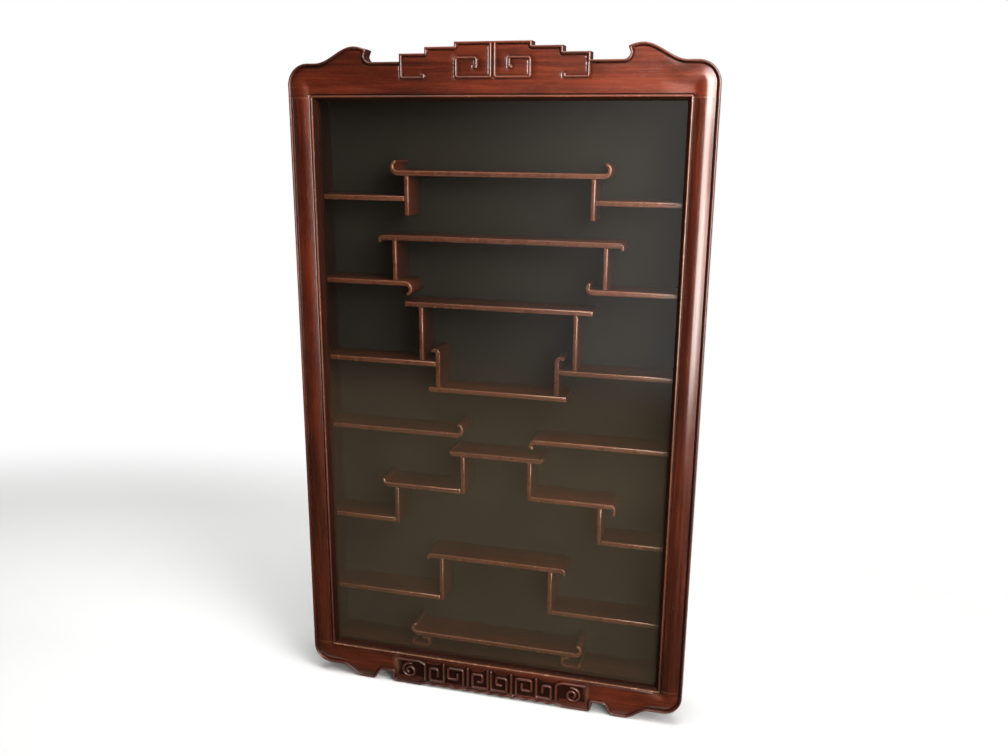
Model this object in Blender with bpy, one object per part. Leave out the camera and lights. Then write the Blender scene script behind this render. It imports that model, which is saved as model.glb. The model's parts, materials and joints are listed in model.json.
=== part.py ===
# Display cabinet: a shallow hardwood case with stepped shelves behind one glazed, carved door.
# Metres, +Z up. The front faces -Y, and the origin lies on the floor under the middle.
import math

import bmesh
import bpy
from mathutils import Vector

for leftover in list(bpy.data.objects):
    bpy.data.objects.remove(leftover, do_unlink=True)

# Driving dimensions: clearances
SEAT_GAP = 0.0003
DOOR_GAP = 0.0005
FLOOR_GAP = 0.0008
PIN_CLEARANCE = 0.0003

# Driving dimensions: door frame
OPENING_WIDTH = 0.510
OPENING_HEIGHT = 0.831
STILE_WIDTH = 0.035
DOOR_THICKNESS = 0.022
FIELD_DEPTH = 0.002
LIP_WIDTH = 0.0040
LIP_TOP_DEPTH = 0.0025
LIP_EDGE_DEPTH = 0.0060
LIP_BACK_DEPTH = 0.0095
INNER_BEAD_WIDTH = 0.0025
OUTER_BEAD_WIDTH = 0.0032
BEAD_DEPTH = 0.0012
GROOVE_WIDTH = 0.0022
GROOVE_DEPTH = 0.0035
REBATE_WIDTH = 0.0065

# Driving dimensions: crest, as rises over the opening and shares of the half width
CREST_SHOULDER_RISE = 0.0445
CREST_CORNER_RADIUS = 0.029
CREST_LOBE_RISE = 0.0655
CREST_TIP_DROP = 0.0045
CREST_NOTCH_RISE = 0.0455
CREST_NOTCH_RADIUS = 0.008
CREST_STEP_RISES = (0.0555, 0.0634, 0.0694)
CREST_STEP_PLACES = (0.441, 0.319, 0.179)
CREST_SHOULDER_PLACE = 0.860
CREST_LOBE_PLACE = 0.665
CREST_TIP_PLACE = 0.602
CREST_NOTCH_PLACE = 0.612
CREST_TIP_EASE = (0.45, 0.30)

# Driving dimensions: fret lines raised on the crest
FRET_WIDTH = 0.0032
FRET_INSET = 0.0006
FRET_LOW = 0.025
FRET_MIDDLE = 0.049
FRET_HOOK = 0.0375
FRET_SPIRAL_PLACES = (0.0095, 0.171, 0.076)
FRET_ANGLE_END_PLACE = 0.322
FRET_ANGLE_HOOK = 0.005

# Driving dimensions: apron, as drops under the opening and shares of the half width
APRON_SHOULDER_DROP = 0.0355
APRON_CORNER_RADIUS = 0.028
APRON_LOBE_DROP = 0.052
APRON_NOTCH_DROP = 0.0357
APRON_BLOCK_DROP = 0.0516
APRON_MIDDLE_DROP = 0.0500
APRON_BLOCK_RADIUS = 0.006
APRON_SHOULDER_PLACE = 0.838
APRON_LOBE_PLACES = (0.655, 0.715)
APRON_NOTCH_PLACE = 0.603
APRON_BLOCK_PLACE = 0.543
APRON_MIDDLE_PLACE = 0.380

# Driving dimensions: glass and the strips that hold it
GLASS_THICKNESS = 0.0025
GLASS_EDGE_CLEARANCE = 0.0005
STRIP_THICKNESS = 0.008

# Driving dimensions: case
CASE_DEPTH = 0.0675
CASE_OVERHANG = 0.012
BOARD_THICKNESS = 0.012
BACK_THICKNESS = 0.006
BACK_RECESS = 0.002
FLOOR_BOARD_DROP = 0.002
TOP_BOARD_RISE = 0.008
FOOT_CUT_DEPTH = 0.012
FOOT_CUT_HEIGHT = 0.010

# Driving dimensions: shelves and uprights
SHELF_SETBACK = 0.0085
SHELF_THICKNESS = 0.007
UPRIGHT_THICKNESS = 0.0065
CURL_TIP = 0.0035
FOOT_RIBBON = 0.004
FOOT_CURL_RADIUS = 0.0035
FOOT_RUN = 0.021
FOOT_ARC = (60, 270)
FOOT_CURL_ARC = (-60, 60)
HOOK_RADIUS = 0.005
HOOK_TURN = 150
HOOK_RISE = 0.012
FREE_END = 0.027

# Driving dimensions: hardware
HINGE_LENGTH = 0.050
HINGE_INSET = 0.120
KNUCKLE_RADIUS = 0.003
KNUCKLE_SHARE = 0.30
PIN_RADIUS = 0.0014
PIN_HEAD_RADIUS = 0.0022
PIN_HEAD_HEIGHT = 0.0015
LEAF_THICKNESS = 0.0015
CASE_LEAF_WIDTH = 0.020
DOOR_LEAF_WIDTH = 0.008
STRIKE_SIZE = (0.0075, 0.0012, 0.030)
MAGNET_SIZE = (0.0095, 0.020, 0.032)
HANGER_SIZE = (0.030, 0.0017, 0.055)
HANGER_RISE = 0.020
HANGER_HOLE_RADIUS = 0.004

# Shelf ends: radius and turn of each curl, upward for a positive turn, then its straight tip
CURLS = {
    "plain": (0.0, 0, 0.0),
    "scroll_up": (0.0080, 165, 0.0),
    "scroll_down": (0.0080, -165, 0.0),
    "hook_up": (0.0062, 150, 0.0),
    "hook_down": (0.0062, -150, 0.0),
    "lip_up": (0.0060, 80, 0.0045),
    "lip_down": (0.0045, -90, 0.0025),
    "drop_down": (0.0050, -90, 0.0080),
    "kick_up": (0.0045, 70, 0.0010),
}

# Posts: place of the middle of each upright and of the scroll foot, as a share of the inside half width
POST_PLACE_SHARES = {
    "first": 0.496,
    "second": 0.570,
    "third": 0.425,
    "hooked": 0.331,
    "fifth": 0.191,
    "sixth": 0.586,
    "seventh": 0.320,
    "scroll_foot": 0.425,
}

# Shelf tops: level as a share of the opening height
CENTRE_LEVEL_SHARES = {
    "first": 0.8845,
    "second": 0.7762,
    "third": 0.6625,
    "fourth": 0.5120,
    "fifth": 0.3960,
    "sixth": 0.1931,
    "seventh": 0.0283,
}
WALL_LEVEL_SHARES = {
    "first": 0.8424,
    "second": 0.6980,
    "third": 0.5584,
    "fourth": 0.4308,
    "fifth": 0.3249,
    "sixth": 0.2563,
    "seventh": 0.1089,
}

# Shelf ends: the post that each is measured from, how far past its middle it runs, and its curl
CENTRE_ENDS = {
    "first": ("first", 0.0248, "scroll_up"),
    "second": ("second", 0.0256, "lip_down"),
    "third": ("third", 0.0235, "plain"),
    "fourth": ("hooked", 0.0141, "plain"),
    "fifth": ("fifth", 0.0226, "kick_up"),
    "sixth": ("seventh", 0.0248, "lip_down"),
    "seventh": ("scroll_foot", 0.0245, "scroll_up"),
}

# The same for side shelves that run inward past a post, with the curls of the left and right one
WALL_ENDS = {
    "second": ("second", 0.0268, "scroll_down", "hook_up"),
    "fourth": ("fifth", 0.0021, "scroll_up", "hook_down"),
}
HANGING_END = ("sixth", 0.0242, "lip_up", "drop_down")

# Side shelves from the wall that stop against a post
WALL_STOPS = {"first": "first", "third": "hooked", "sixth": "sixth", "seventh": "seventh"}

# Mesh settings: weld distance, then angles in degrees for sharp edges and for one step of a curve
MERGE_DISTANCE = 0.000001
SHARP_ANGLE = 35
CURL_STEP = 15
EASE_STEPS = 7
PIN_SIDES = 16
BORE_SIDES = 20

# Worked-out places, with depth measured back from the front of the door
depth_total = DOOR_THICKNESS + DOOR_GAP + CASE_DEPTH
half_opening = OPENING_WIDTH / 2
half_width = half_opening + STILE_WIDTH
opening_bottom = FLOOR_GAP + APRON_LOBE_DROP
opening_top = opening_bottom + OPENING_HEIGHT
case_front = DOOR_THICKNESS + DOOR_GAP
case_half = half_width - CASE_OVERHANG
inside_half = case_half - BOARD_THICKNESS
back_face = depth_total - BACK_RECESS - BACK_THICKNESS
floor_board_top = opening_bottom - FLOOR_BOARD_DROP
top_board_bottom = opening_top + TOP_BOARD_RISE
top_board_top = top_board_bottom + BOARD_THICKNESS
shelf_front = case_front + SHELF_SETBACK
shelf_back = back_face - SEAT_GAP
rebate_half = half_opening - LIP_WIDTH + REBATE_WIDTH
rebate_top = opening_top - LIP_WIDTH + REBATE_WIDTH
rebate_bottom = opening_bottom + LIP_WIDTH - REBATE_WIDTH
pin_x = -(case_half + SEAT_GAP + KNUCKLE_RADIUS)
pin_depth = DOOR_THICKNESS + SEAT_GAP + KNUCKLE_RADIUS


def y_at(depth):
    return depth - depth_total / 2


def shelf_level(share):
    return opening_bottom + share * OPENING_HEIGHT


# Scene layout: one collection for the pieces, one for the shapes that cut or join them
parts = bpy.data.collections.new("display_cabinet")
cutters = bpy.data.collections.new("cutters")
for group in (parts, cutters):
    bpy.context.scene.collection.children.link(group)


def make_pivot(name, place):
    pivot = bpy.data.objects.new(name, None)
    pivot.location = place
    parts.objects.link(pivot)
    return pivot


case_pivot = make_pivot("case_origin", Vector((0, 0, 0)))
door_pivot = make_pivot("door_pivot", Vector((pin_x, y_at(pin_depth), opening_bottom)))


def make_material(name, colour, roughness, metallic=0.0, transmission=0.0):
    material = bpy.data.materials.new(name)
    material.use_nodes = True
    shader = material.node_tree.nodes["Principled BSDF"]
    shader.inputs["Base Color"].default_value = (*colour, 1.0)
    shader.inputs["Roughness"].default_value = roughness
    shader.inputs["Metallic"].default_value = metallic
    shader.inputs["Transmission Weight"].default_value = transmission
    return material


frame_wood = make_material("frame_wood", (0.115, 0.022, 0.012), 0.28)
shelf_wood = make_material("shelf_wood", (0.150, 0.042, 0.020), 0.40)
case_wood = make_material("case_wood", (0.085, 0.022, 0.013), 0.45)
dark_lining = make_material("dark_lining", (0.020, 0.021, 0.018), 0.85)
clear_glass = make_material("clear_glass", (0.95, 0.97, 0.96), 0.02, transmission=1.0)
brass = make_material("brass", (0.60, 0.42, 0.16), 0.32, metallic=1.0)
steel = make_material("steel", (0.52, 0.52, 0.53), 0.38, metallic=1.0)


def finish_mesh(mesh_builder, name):
    bmesh.ops.remove_doubles(mesh_builder, verts=mesh_builder.verts, dist=MERGE_DISTANCE)
    bmesh.ops.recalc_face_normals(mesh_builder, faces=mesh_builder.faces)
    mesh = bpy.data.meshes.new(name)
    mesh_builder.to_mesh(mesh)
    mesh_builder.free()
    mesh.shade_smooth()
    mesh.set_sharp_from_angle(angle=math.radians(SHARP_ANGLE))
    return mesh


def place_piece(name, mesh, centre, material, pivot):
    piece = bpy.data.objects.new(name, mesh)
    piece.data.materials.append(material)
    piece.parent = pivot
    piece.location = Vector(centre) - pivot.location
    parts.objects.link(piece)
    return piece


def box_mesh(name, size):
    builder = bmesh.new()
    bmesh.ops.create_cube(builder, size=1.0)
    bmesh.ops.scale(builder, vec=size, verts=builder.verts)
    return finish_mesh(builder, name)


def rod_mesh(name, radius, length, sides):
    builder = bmesh.new()
    bmesh.ops.create_cone(builder, cap_ends=True, segments=sides,
                          radius1=radius, radius2=radius, depth=length)
    return finish_mesh(builder, name)


def outline_mesh(name, outline, thickness, standing):
    # A flat outline given a thickness and two caps. A standing one has its thickness along Y.
    curve = bpy.data.curves.new(name, "CURVE")
    curve.dimensions = "2D"
    curve.fill_mode = "NONE"
    curve.extrude = thickness / 2
    spline = curve.splines.new("POLY")
    spline.points.add(len(outline) - 1)
    for point, (across, along) in zip(spline.points, outline):
        point.co = (across, along, 0.0, 1.0)
    spline.use_cyclic_u = True
    drawing = bpy.data.objects.new(name, curve)
    bpy.context.scene.collection.objects.link(drawing)
    bpy.context.view_layer.update()
    flat = bpy.data.meshes.new_from_object(drawing.evaluated_get(bpy.context.evaluated_depsgraph_get()))
    bpy.data.objects.remove(drawing)
    builder = bmesh.new()
    builder.from_mesh(flat)
    bpy.data.meshes.remove(flat)
    bmesh.ops.holes_fill(builder, edges=[edge for edge in builder.edges if edge.is_boundary], sides=0)
    if standing:
        for vertex in builder.verts:
            across, along, deep = vertex.co
            vertex.co = (across, -deep, along)
    return finish_mesh(builder, name)


def box_between(name, low, high, material, pivot):
    size = [top - bottom for bottom, top in zip(low, high)]
    centre = [(bottom + top) / 2 for bottom, top in zip(low, high)]
    return place_piece(name, box_mesh(name, size), centre, material, pivot)


def standing_piece(name, outline, front, back, material, pivot):
    mesh = outline_mesh(name, outline, back - front, standing=True)
    return place_piece(name, mesh, (0, y_at((front + back) / 2), 0), material, pivot)


def combine(piece, tool, operation):
    # The tool stays as a wire shape in the other collection and follows the piece.
    parts.objects.unlink(tool)
    cutters.objects.link(tool)
    tool.name = f"{piece.name}_{operation.lower()}_{len(piece.modifiers)}"
    tool.hide_render = True
    tool.display_type = "WIRE"
    modifier = piece.modifiers.new(operation.lower(), "BOOLEAN")
    modifier.object = tool
    modifier.operation = operation


def arc(centre, radius, start, stop):
    steps = math.ceil(abs(stop - start) / CURL_STEP)
    angles = [math.radians(start + (stop - start) * step / steps) for step in range(steps + 1)]
    return [(centre[0] + radius * math.cos(a), centre[1] + radius * math.sin(a)) for a in angles]


def ease(start, stop):
    # An S-shaped run that leaves and arrives level.
    run = []
    for step in range(EASE_STEPS + 1):
        share = step / EASE_STEPS
        lift = (1 - math.cos(math.pi * share)) / 2
        run.append((start[0] + (stop[0] - start[0]) * share, start[1] + (stop[1] - start[1]) * lift))
    return run


def mirrored(right_half):
    # Closes an outline whose right half runs from the middle outward.
    left_half = [(-across, along) for across, along in reversed(right_half) if across > 0]
    return right_half + left_half


def ribbon(path, widths):
    # The outline of a strip that follows a path, with its own half width at each point.
    left, right = [], []
    for index, (across, along) in enumerate(path):
        before = path[max(index - 1, 0)]
        after = path[min(index + 1, len(path) - 1)]
        run = Vector((after[0] - before[0], after[1] - before[1])).normalized()
        left.append((across - run.y * widths[index], along + run.x * widths[index]))
        right.append((across + run.y * widths[index], along - run.x * widths[index]))
    return left + right[::-1]


# Door: crest rail
def crest_outline():
    lobe = CREST_LOBE_PLACE * half_width
    tip = CREST_TIP_PLACE * half_width
    notch = CREST_NOTCH_PLACE * half_width
    outline = [(0, 0)]
    outline += [(half_width, 0)]
    outline += arc((half_width - CREST_CORNER_RADIUS, CREST_SHOULDER_RISE - CREST_CORNER_RADIUS),
                   CREST_CORNER_RADIUS, 0, 90)
    outline += ease((CREST_SHOULDER_PLACE * half_width, CREST_SHOULDER_RISE), (lobe, CREST_LOBE_RISE))
    ease_across, ease_down = CREST_TIP_EASE
    outline += [(tip + (lobe - tip) * ease_across, CREST_LOBE_RISE - CREST_TIP_DROP * ease_down),
                (tip, CREST_LOBE_RISE - CREST_TIP_DROP)]
    outline += arc((notch - CREST_NOTCH_RADIUS, CREST_NOTCH_RISE + CREST_NOTCH_RADIUS),
                   CREST_NOTCH_RADIUS, 0, -90)
    level = CREST_NOTCH_RISE
    for place, rise in zip(CREST_STEP_PLACES, CREST_STEP_RISES):
        outline += [(place * half_width, level), (place * half_width, rise)]
        level = rise
    outline += [(0, level)]
    return [(across, opening_top + along) for across, along in outline]


def fret_paths():
    spiral_inner, spiral_outer, spiral_hook = (place * half_width for place in FRET_SPIRAL_PLACES)
    edge = FRET_INSET + FRET_WIDTH / 2
    angle = CREST_STEP_PLACES[0] * half_width - edge
    angle_end = FRET_ANGLE_END_PLACE * half_width
    crest_top = CREST_STEP_RISES[-1] - edge
    angle_top = CREST_STEP_RISES[0] - edge
    spiral = [(spiral_inner, crest_top), (spiral_inner, FRET_LOW), (spiral_outer, FRET_LOW),
              (spiral_outer, FRET_MIDDLE), (spiral_hook, FRET_MIDDLE), (spiral_hook, FRET_HOOK)]
    corner = [(angle, angle_top), (angle, FRET_LOW), (angle_end, FRET_LOW),
              (angle_end, FRET_LOW + FRET_ANGLE_HOOK)]
    return [spiral, corner]


def square_line(path, width):
    # A line of even width with square corners, for a path of level and upright runs.
    left, right = [], []
    last = len(path) - 1
    for index, (across, along) in enumerate(path):
        into = Vector(path[index]) - Vector(path[index - 1]) if index else None
        out = Vector(path[index + 1]) - Vector(path[index]) if index < last else None
        into = (into or out).normalized()
        out = (out or into).normalized()
        shift = Vector((-into.y, into.x))
        if into.dot(out) < 0.5:
            shift += Vector((-out.y, out.x))
        left.append((across + shift.x * width / 2, along + shift.y * width / 2))
        right.append((across - shift.x * width / 2, along - shift.y * width / 2))
    return left + right[::-1]


def rail_lip(name, edge, inward):
    # The sloped strip along a rail's inner edge. Inward is 1 where it points up and -1 where it points down.
    # Its back runs into the space that the rebate then clears.
    sunk = LIP_WIDTH / 2
    back = (LIP_BACK_DEPTH + DOOR_THICKNESS) / 2
    section = [(0.0, LIP_TOP_DEPTH), (LIP_WIDTH, LIP_EDGE_DEPTH), (LIP_WIDTH, back), (-sunk, back),
               (-sunk, LIP_TOP_DEPTH)]
    length = OPENING_WIDTH - 2 * SEAT_GAP
    outline = [(reach * inward, y_at(depth)) for reach, depth in section]
    mesh = outline_mesh(name, outline, length, standing=False)
    for vertex in mesh.vertices:
        reach, deep, along = vertex.co
        vertex.co = (along, deep, edge + reach)
    builder = bmesh.new()
    builder.from_mesh(mesh)
    bpy.data.meshes.remove(mesh)
    return place_piece(name, finish_mesh(builder, name), (0, 0, 0), frame_wood, door_pivot)


def cut_rail_rebate(rail, low, high):
    tool = box_between("rebate", (-rebate_half, y_at(LIP_BACK_DEPTH), low),
                       (rebate_half, y_at(DOOR_THICKNESS + SEAT_GAP), high), frame_wood, door_pivot)
    combine(rail, tool, "DIFFERENCE")


def make_crest():
    crest = standing_piece("crest_rail", mirrored(crest_outline()), FIELD_DEPTH, DOOR_THICKNESS,
                           frame_wood, door_pivot)
    combine(crest, rail_lip("crest_lip", opening_top, -1), "UNION")
    cut_rail_rebate(crest, opening_top - LIP_WIDTH - SEAT_GAP, rebate_top)
    for path in fret_paths():
        for side in (1, -1):
            line = square_line([(side * across, opening_top + along) for across, along in path], FRET_WIDTH)
            fret = standing_piece("fret", line, 0.0, 2 * FIELD_DEPTH, frame_wood, door_pivot)
            combine(crest, fret, "UNION")


make_crest()


# Door: apron rail
def apron_outline():
    lobe_inner, lobe_outer = (place * half_width for place in APRON_LOBE_PLACES)
    notch = APRON_NOTCH_PLACE * half_width
    block = APRON_BLOCK_PLACE * half_width
    middle = APRON_MIDDLE_PLACE * half_width
    outline = [(0, -APRON_MIDDLE_DROP), (middle, -APRON_MIDDLE_DROP), (middle, -APRON_BLOCK_DROP)]
    outline += arc((block - APRON_BLOCK_RADIUS, APRON_BLOCK_RADIUS - APRON_BLOCK_DROP),
                   APRON_BLOCK_RADIUS, -90, 0)
    outline += [(block, -APRON_NOTCH_DROP)]
    outline += ease((notch, -APRON_NOTCH_DROP), (lobe_inner, -APRON_LOBE_DROP))
    outline += ease((lobe_outer, -APRON_LOBE_DROP), (APRON_SHOULDER_PLACE * half_width, -APRON_SHOULDER_DROP))
    outline += arc((half_width - APRON_CORNER_RADIUS, APRON_CORNER_RADIUS - APRON_SHOULDER_DROP),
                   APRON_CORNER_RADIUS, -90, 0)
    outline += [(half_width, 0), (0, 0)]
    return [(across, opening_bottom + along) for across, along in outline]


def make_apron():
    apron = standing_piece("apron_rail", mirrored(apron_outline()), FIELD_DEPTH, DOOR_THICKNESS,
                           frame_wood, door_pivot)
    combine(apron, rail_lip("apron_lip", opening_bottom, 1), "UNION")
    cut_rail_rebate(apron, rebate_bottom, opening_bottom + LIP_WIDTH + SEAT_GAP)


make_apron()


# Door: stiles, drawn as a moulded section from the opening outward
def crown(start, stop, edge, top, steps):
    # A rounded stretch of the moulding between two depths.
    run = []
    for step in range(steps + 1):
        share = step / steps
        swell = math.sin(math.pi * share)
        run.append((start + (stop - start) * share, edge + (top - edge) * swell))
    return run


def stile_section():
    bead_end = INNER_BEAD_WIDTH
    body_start = bead_end + GROOVE_WIDTH
    body_end = STILE_WIDTH - OUTER_BEAD_WIDTH - GROOVE_WIDTH
    rim_start = STILE_WIDTH - OUTER_BEAD_WIDTH
    section = [(-LIP_WIDTH, LIP_BACK_DEPTH), (-LIP_WIDTH, LIP_EDGE_DEPTH)]
    section += crown(0.0, bead_end, LIP_TOP_DEPTH, BEAD_DEPTH, 4)
    section += [((bead_end + body_start) / 2, GROOVE_DEPTH)]
    section += crown(body_start, body_end, FIELD_DEPTH, 0.0, 8)
    section += [((body_end + rim_start) / 2, GROOVE_DEPTH)]
    section += crown(rim_start, STILE_WIDTH, LIP_TOP_DEPTH, BEAD_DEPTH, 4)
    section += [(STILE_WIDTH, DOOR_THICKNESS), (REBATE_WIDTH - LIP_WIDTH, DOOR_THICKNESS),
                (REBATE_WIDTH - LIP_WIDTH, LIP_BACK_DEPTH)]
    return section


def make_stile(name, side):
    low = opening_bottom + SEAT_GAP
    high = opening_top - SEAT_GAP
    section = [(side * (half_opening + across), y_at(depth)) for across, depth in stile_section()]
    mesh = outline_mesh(name, section, high - low, standing=False)
    stile = place_piece(name, mesh, (0, 0, (low + high) / 2), frame_wood, door_pivot)
    # The lip stops where the lips of the rails run past it, and the rebate runs on.
    for start, stop in ((low - SEAT_GAP, opening_bottom + LIP_WIDTH + SEAT_GAP),
                        (opening_top - LIP_WIDTH - SEAT_GAP, high + SEAT_GAP)):
        reach = sorted((side * (half_opening - LIP_WIDTH - SEAT_GAP), side * half_opening))
        tool = box_between("lip_end", (reach[0], y_at(-SEAT_GAP), start),
                           (reach[1], y_at(LIP_BACK_DEPTH + SEAT_GAP), stop), frame_wood, door_pivot)
        combine(stile, tool, "DIFFERENCE")


make_stile("left_stile", -1)
make_stile("right_stile", 1)


# Door: glass and the four strips behind it
def make_glazing():
    front = LIP_BACK_DEPTH + SEAT_GAP
    back = front + GLASS_THICKNESS
    half = rebate_half - GLASS_EDGE_CLEARANCE
    low = rebate_bottom + GLASS_EDGE_CLEARANCE
    high = rebate_top - GLASS_EDGE_CLEARANCE
    box_between("glass_pane", (-half, y_at(front), low), (half, y_at(back), high), clear_glass, door_pivot)
    strip_front = y_at(back + SEAT_GAP)
    strip_back = y_at(back + SEAT_GAP + STRIP_THICKNESS)
    reach = REBATE_WIDTH - SEAT_GAP
    strips = {
        "glazing_strip_left": (-rebate_half + SEAT_GAP, rebate_bottom + SEAT_GAP,
                               -rebate_half + reach, rebate_top - SEAT_GAP),
        "glazing_strip_right": (rebate_half - reach, rebate_bottom + SEAT_GAP,
                                rebate_half - SEAT_GAP, rebate_top - SEAT_GAP),
        "glazing_strip_top": (-rebate_half + REBATE_WIDTH, rebate_top - reach,
                              rebate_half - REBATE_WIDTH, rebate_top - SEAT_GAP),
        "glazing_strip_bottom": (-rebate_half + REBATE_WIDTH, rebate_bottom + SEAT_GAP,
                                 rebate_half - REBATE_WIDTH, rebate_bottom + reach),
    }
    for name, (left, bottom, right, top) in strips.items():
        box_between(name, (left, strip_front, bottom), (right, strip_back, top), frame_wood, door_pivot)


make_glazing()


# Case: two sides that stand on the floor, a top, a bottom and a back
def make_case():
    for name, side in (("case_side_left", -1), ("case_side_right", 1)):
        section = [(case_front + inward * FOOT_CUT_DEPTH, up * FOOT_CUT_HEIGHT)
                   for inward, up in arc((0.0, 0.0), 1.0, 90, 0)]
        section += [(depth_total, 0.0), (depth_total, top_board_top), (case_front, top_board_top)]
        outline = [(y_at(depth), up) for depth, up in section]
        mesh = outline_mesh(name, outline, BOARD_THICKNESS, standing=True)
        middle = side * (case_half - BOARD_THICKNESS / 2)
        board = place_piece(name, mesh, (middle, 0, 0), case_wood, case_pivot)
        for vertex in board.data.vertices:
            deep, across, up = vertex.co
            vertex.co = (-across, deep, up)
    half = inside_half - SEAT_GAP
    front = y_at(case_front)
    back = y_at(shelf_back)
    box_between("case_top", (-half, front, top_board_bottom),
                (half, back, top_board_top), case_wood, case_pivot)
    box_between("case_bottom", (-half, front, floor_board_top - BOARD_THICKNESS),
                (half, back, floor_board_top), case_wood, case_pivot)
    box_between("back_panel", (-half, y_at(back_face), floor_board_top - BOARD_THICKNESS),
                (half, y_at(back_face + BACK_THICKNESS), top_board_top), dark_lining, case_pivot)


make_case()


# Shelves and uprights, each an outline seen from the front and run back to the panel
def curl_path(end, heading, curl):
    # Points round a shelf end, from the straight run outward. Heading is 1 to the right, -1 to the left.
    radius, turn, tip_run = CURLS[curl]
    lift = math.copysign(1, turn)
    steps = math.ceil(abs(turn) / CURL_STEP)
    path = []
    for step in range(1, steps + 1):
        angle = math.radians(abs(turn)) * step / steps
        path.append((end[0] + heading * radius * math.sin(angle),
                     end[1] + lift * radius * (1 - math.cos(angle))))
    if tip_run:
        across, up = path[-1]
        angle = math.radians(abs(turn))
        path.append((across + heading * tip_run * math.cos(angle), up + lift * tip_run * math.sin(angle)))
    return path


def shelf_run(inner, curl):
    # Where the straight part of a shelf stops so that its curl reaches the stated end.
    radius, turn, _ = CURLS[curl]
    return inner if turn == 0 else inner - radius - SHELF_THICKNESS / 2


def make_shelf(name, level, left, left_curl, right, right_curl):
    middle = level - SHELF_THICKNESS / 2
    left_end = (-shelf_run(-left, left_curl), middle)
    right_end = (shelf_run(right, right_curl), middle)
    left_path = curl_path(left_end, -1, left_curl)
    right_path = curl_path(right_end, 1, right_curl)
    path = left_path[::-1] + [left_end, right_end] + right_path
    full, tip = SHELF_THICKNESS / 2, CURL_TIP / 2

    def taper(count):
        return [full + (tip - full) * (step + 1) / count for step in range(count)]

    widths = taper(len(left_path))[::-1] + [full, full] + taper(len(right_path))
    outline = ribbon(path, widths)
    standing_piece(name, outline, shelf_front, shelf_back, shelf_wood, case_pivot)


def make_side_pair(key, inner, outer):
    # The left and right shelf of one level. Each end has a place, then the curl on the left and on the right.
    start, left_inner, right_inner = inner
    stop, left_outer, right_outer = outer
    level = shelf_level(WALL_LEVEL_SHARES[key])
    make_shelf(f"left_shelf_{key}", level, -stop, left_outer, -start, left_inner)
    make_shelf(f"right_shelf_{key}", level, start, right_inner, stop, right_outer)


def post_place(key):
    return POST_PLACE_SHARES[key] * inside_half


def outer_face(key):
    # The side of an upright that a shelf from the wall meets, measured from the middle.
    return post_place(key) + UPRIGHT_THICKNESS / 2 + SEAT_GAP


def make_upright(name, key, side, low, high):
    centre = side * post_place(key)
    half = UPRIGHT_THICKNESS / 2
    box_between(name, (centre - half, y_at(shelf_front), low), (centre + half, y_at(shelf_back), high),
                shelf_wood, case_pivot)


def make_hooked_upright(name, side, low, bend):
    # A post whose top curls over towards the wall.
    centre = side * post_place("hooked")
    path = [(centre, low), (centre, bend)]
    turn = arc((centre + HOOK_RADIUS, bend), HOOK_RADIUS, 180, 180 - HOOK_TURN)[1:]
    path += [(centre + side * (across - centre), up) for across, up in turn]
    full, tip = UPRIGHT_THICKNESS / 2, CURL_TIP / 2
    curl_steps = len(path) - 2
    widths = [full, full] + [full + (tip - full) * (step + 1) / curl_steps for step in range(curl_steps)]
    standing_piece(name, ribbon(path, widths), shelf_front, shelf_back, shelf_wood, case_pivot)


def make_scroll_foot(name, side, low, high):
    # A C-shaped bracket under a shelf end, open towards the wall, with its foot curled up.
    half = FOOT_RIBBON / 2
    radius = (high - low - FOOT_RIBBON) / 2
    centre = (post_place("scroll_foot"), (low + high) / 2)
    end = centre[0] + FOOT_RUN
    path = arc(centre, radius, *FOOT_ARC) + [(end - FOOT_CURL_RADIUS, low + half)]
    path += arc((end - FOOT_CURL_RADIUS, low + half + FOOT_CURL_RADIUS), FOOT_CURL_RADIUS, *FOOT_CURL_ARC)
    widths = [half] * len(path)
    outline = [(side * across, up) for across, up in ribbon(path, widths)]
    standing_piece(name, outline, shelf_front, shelf_back, shelf_wood, case_pivot)


def make_shelves():
    centre_level = {key: shelf_level(share) for key, share in CENTRE_LEVEL_SHARES.items()}
    wall_level = {key: shelf_level(share) for key, share in WALL_LEVEL_SHARES.items()}
    for key, (post, past, curl) in CENTRE_ENDS.items():
        reach = post_place(post) + past
        make_shelf(f"centre_shelf_{key}", centre_level[key], -reach, curl, reach, curl)

    wall_end = (inside_half - SEAT_GAP, "plain", "plain")
    for key, (post, past, left_curl, right_curl) in WALL_ENDS.items():
        make_side_pair(key, (post_place(post) - past, left_curl, right_curl), wall_end)
    for key, post in WALL_STOPS.items():
        make_side_pair(key, (outer_face(post), "plain", "plain"), wall_end)
    post, past, left_curl, right_curl = HANGING_END
    make_side_pair("fifth", (outer_face("fifth"), "plain", "plain"),
                   (post_place(post) + past, left_curl, right_curl))

    drop = SHELF_THICKNESS + SEAT_GAP
    spans = {
        "first": (wall_level["first"] - FREE_END, centre_level["first"] - drop),
        "second": (wall_level["second"] + SEAT_GAP, centre_level["second"] - drop),
        "third": (wall_level["third"] + SEAT_GAP, centre_level["third"] - drop),
        "fifth": (wall_level["fifth"] - SHELF_THICKNESS, centre_level["fifth"] - drop),
        "sixth": (wall_level["sixth"] - SHELF_THICKNESS, wall_level["fifth"] - drop),
        "seventh": (wall_level["seventh"] - SHELF_THICKNESS, centre_level["sixth"] - drop),
    }
    for hand, side in (("left", -1), ("right", 1)):
        for key, (low, high) in spans.items():
            make_upright(f"{hand}_upright_{key}", key, side, low, high)
        make_hooked_upright(f"{hand}_upright_hooked", side, centre_level["fourth"] + SEAT_GAP,
                            wall_level["third"] + HOOK_RISE)
        make_scroll_foot(f"{hand}_scroll_foot", side, floor_board_top + SEAT_GAP,
                         centre_level["seventh"] - drop)


make_shelves()


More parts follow.
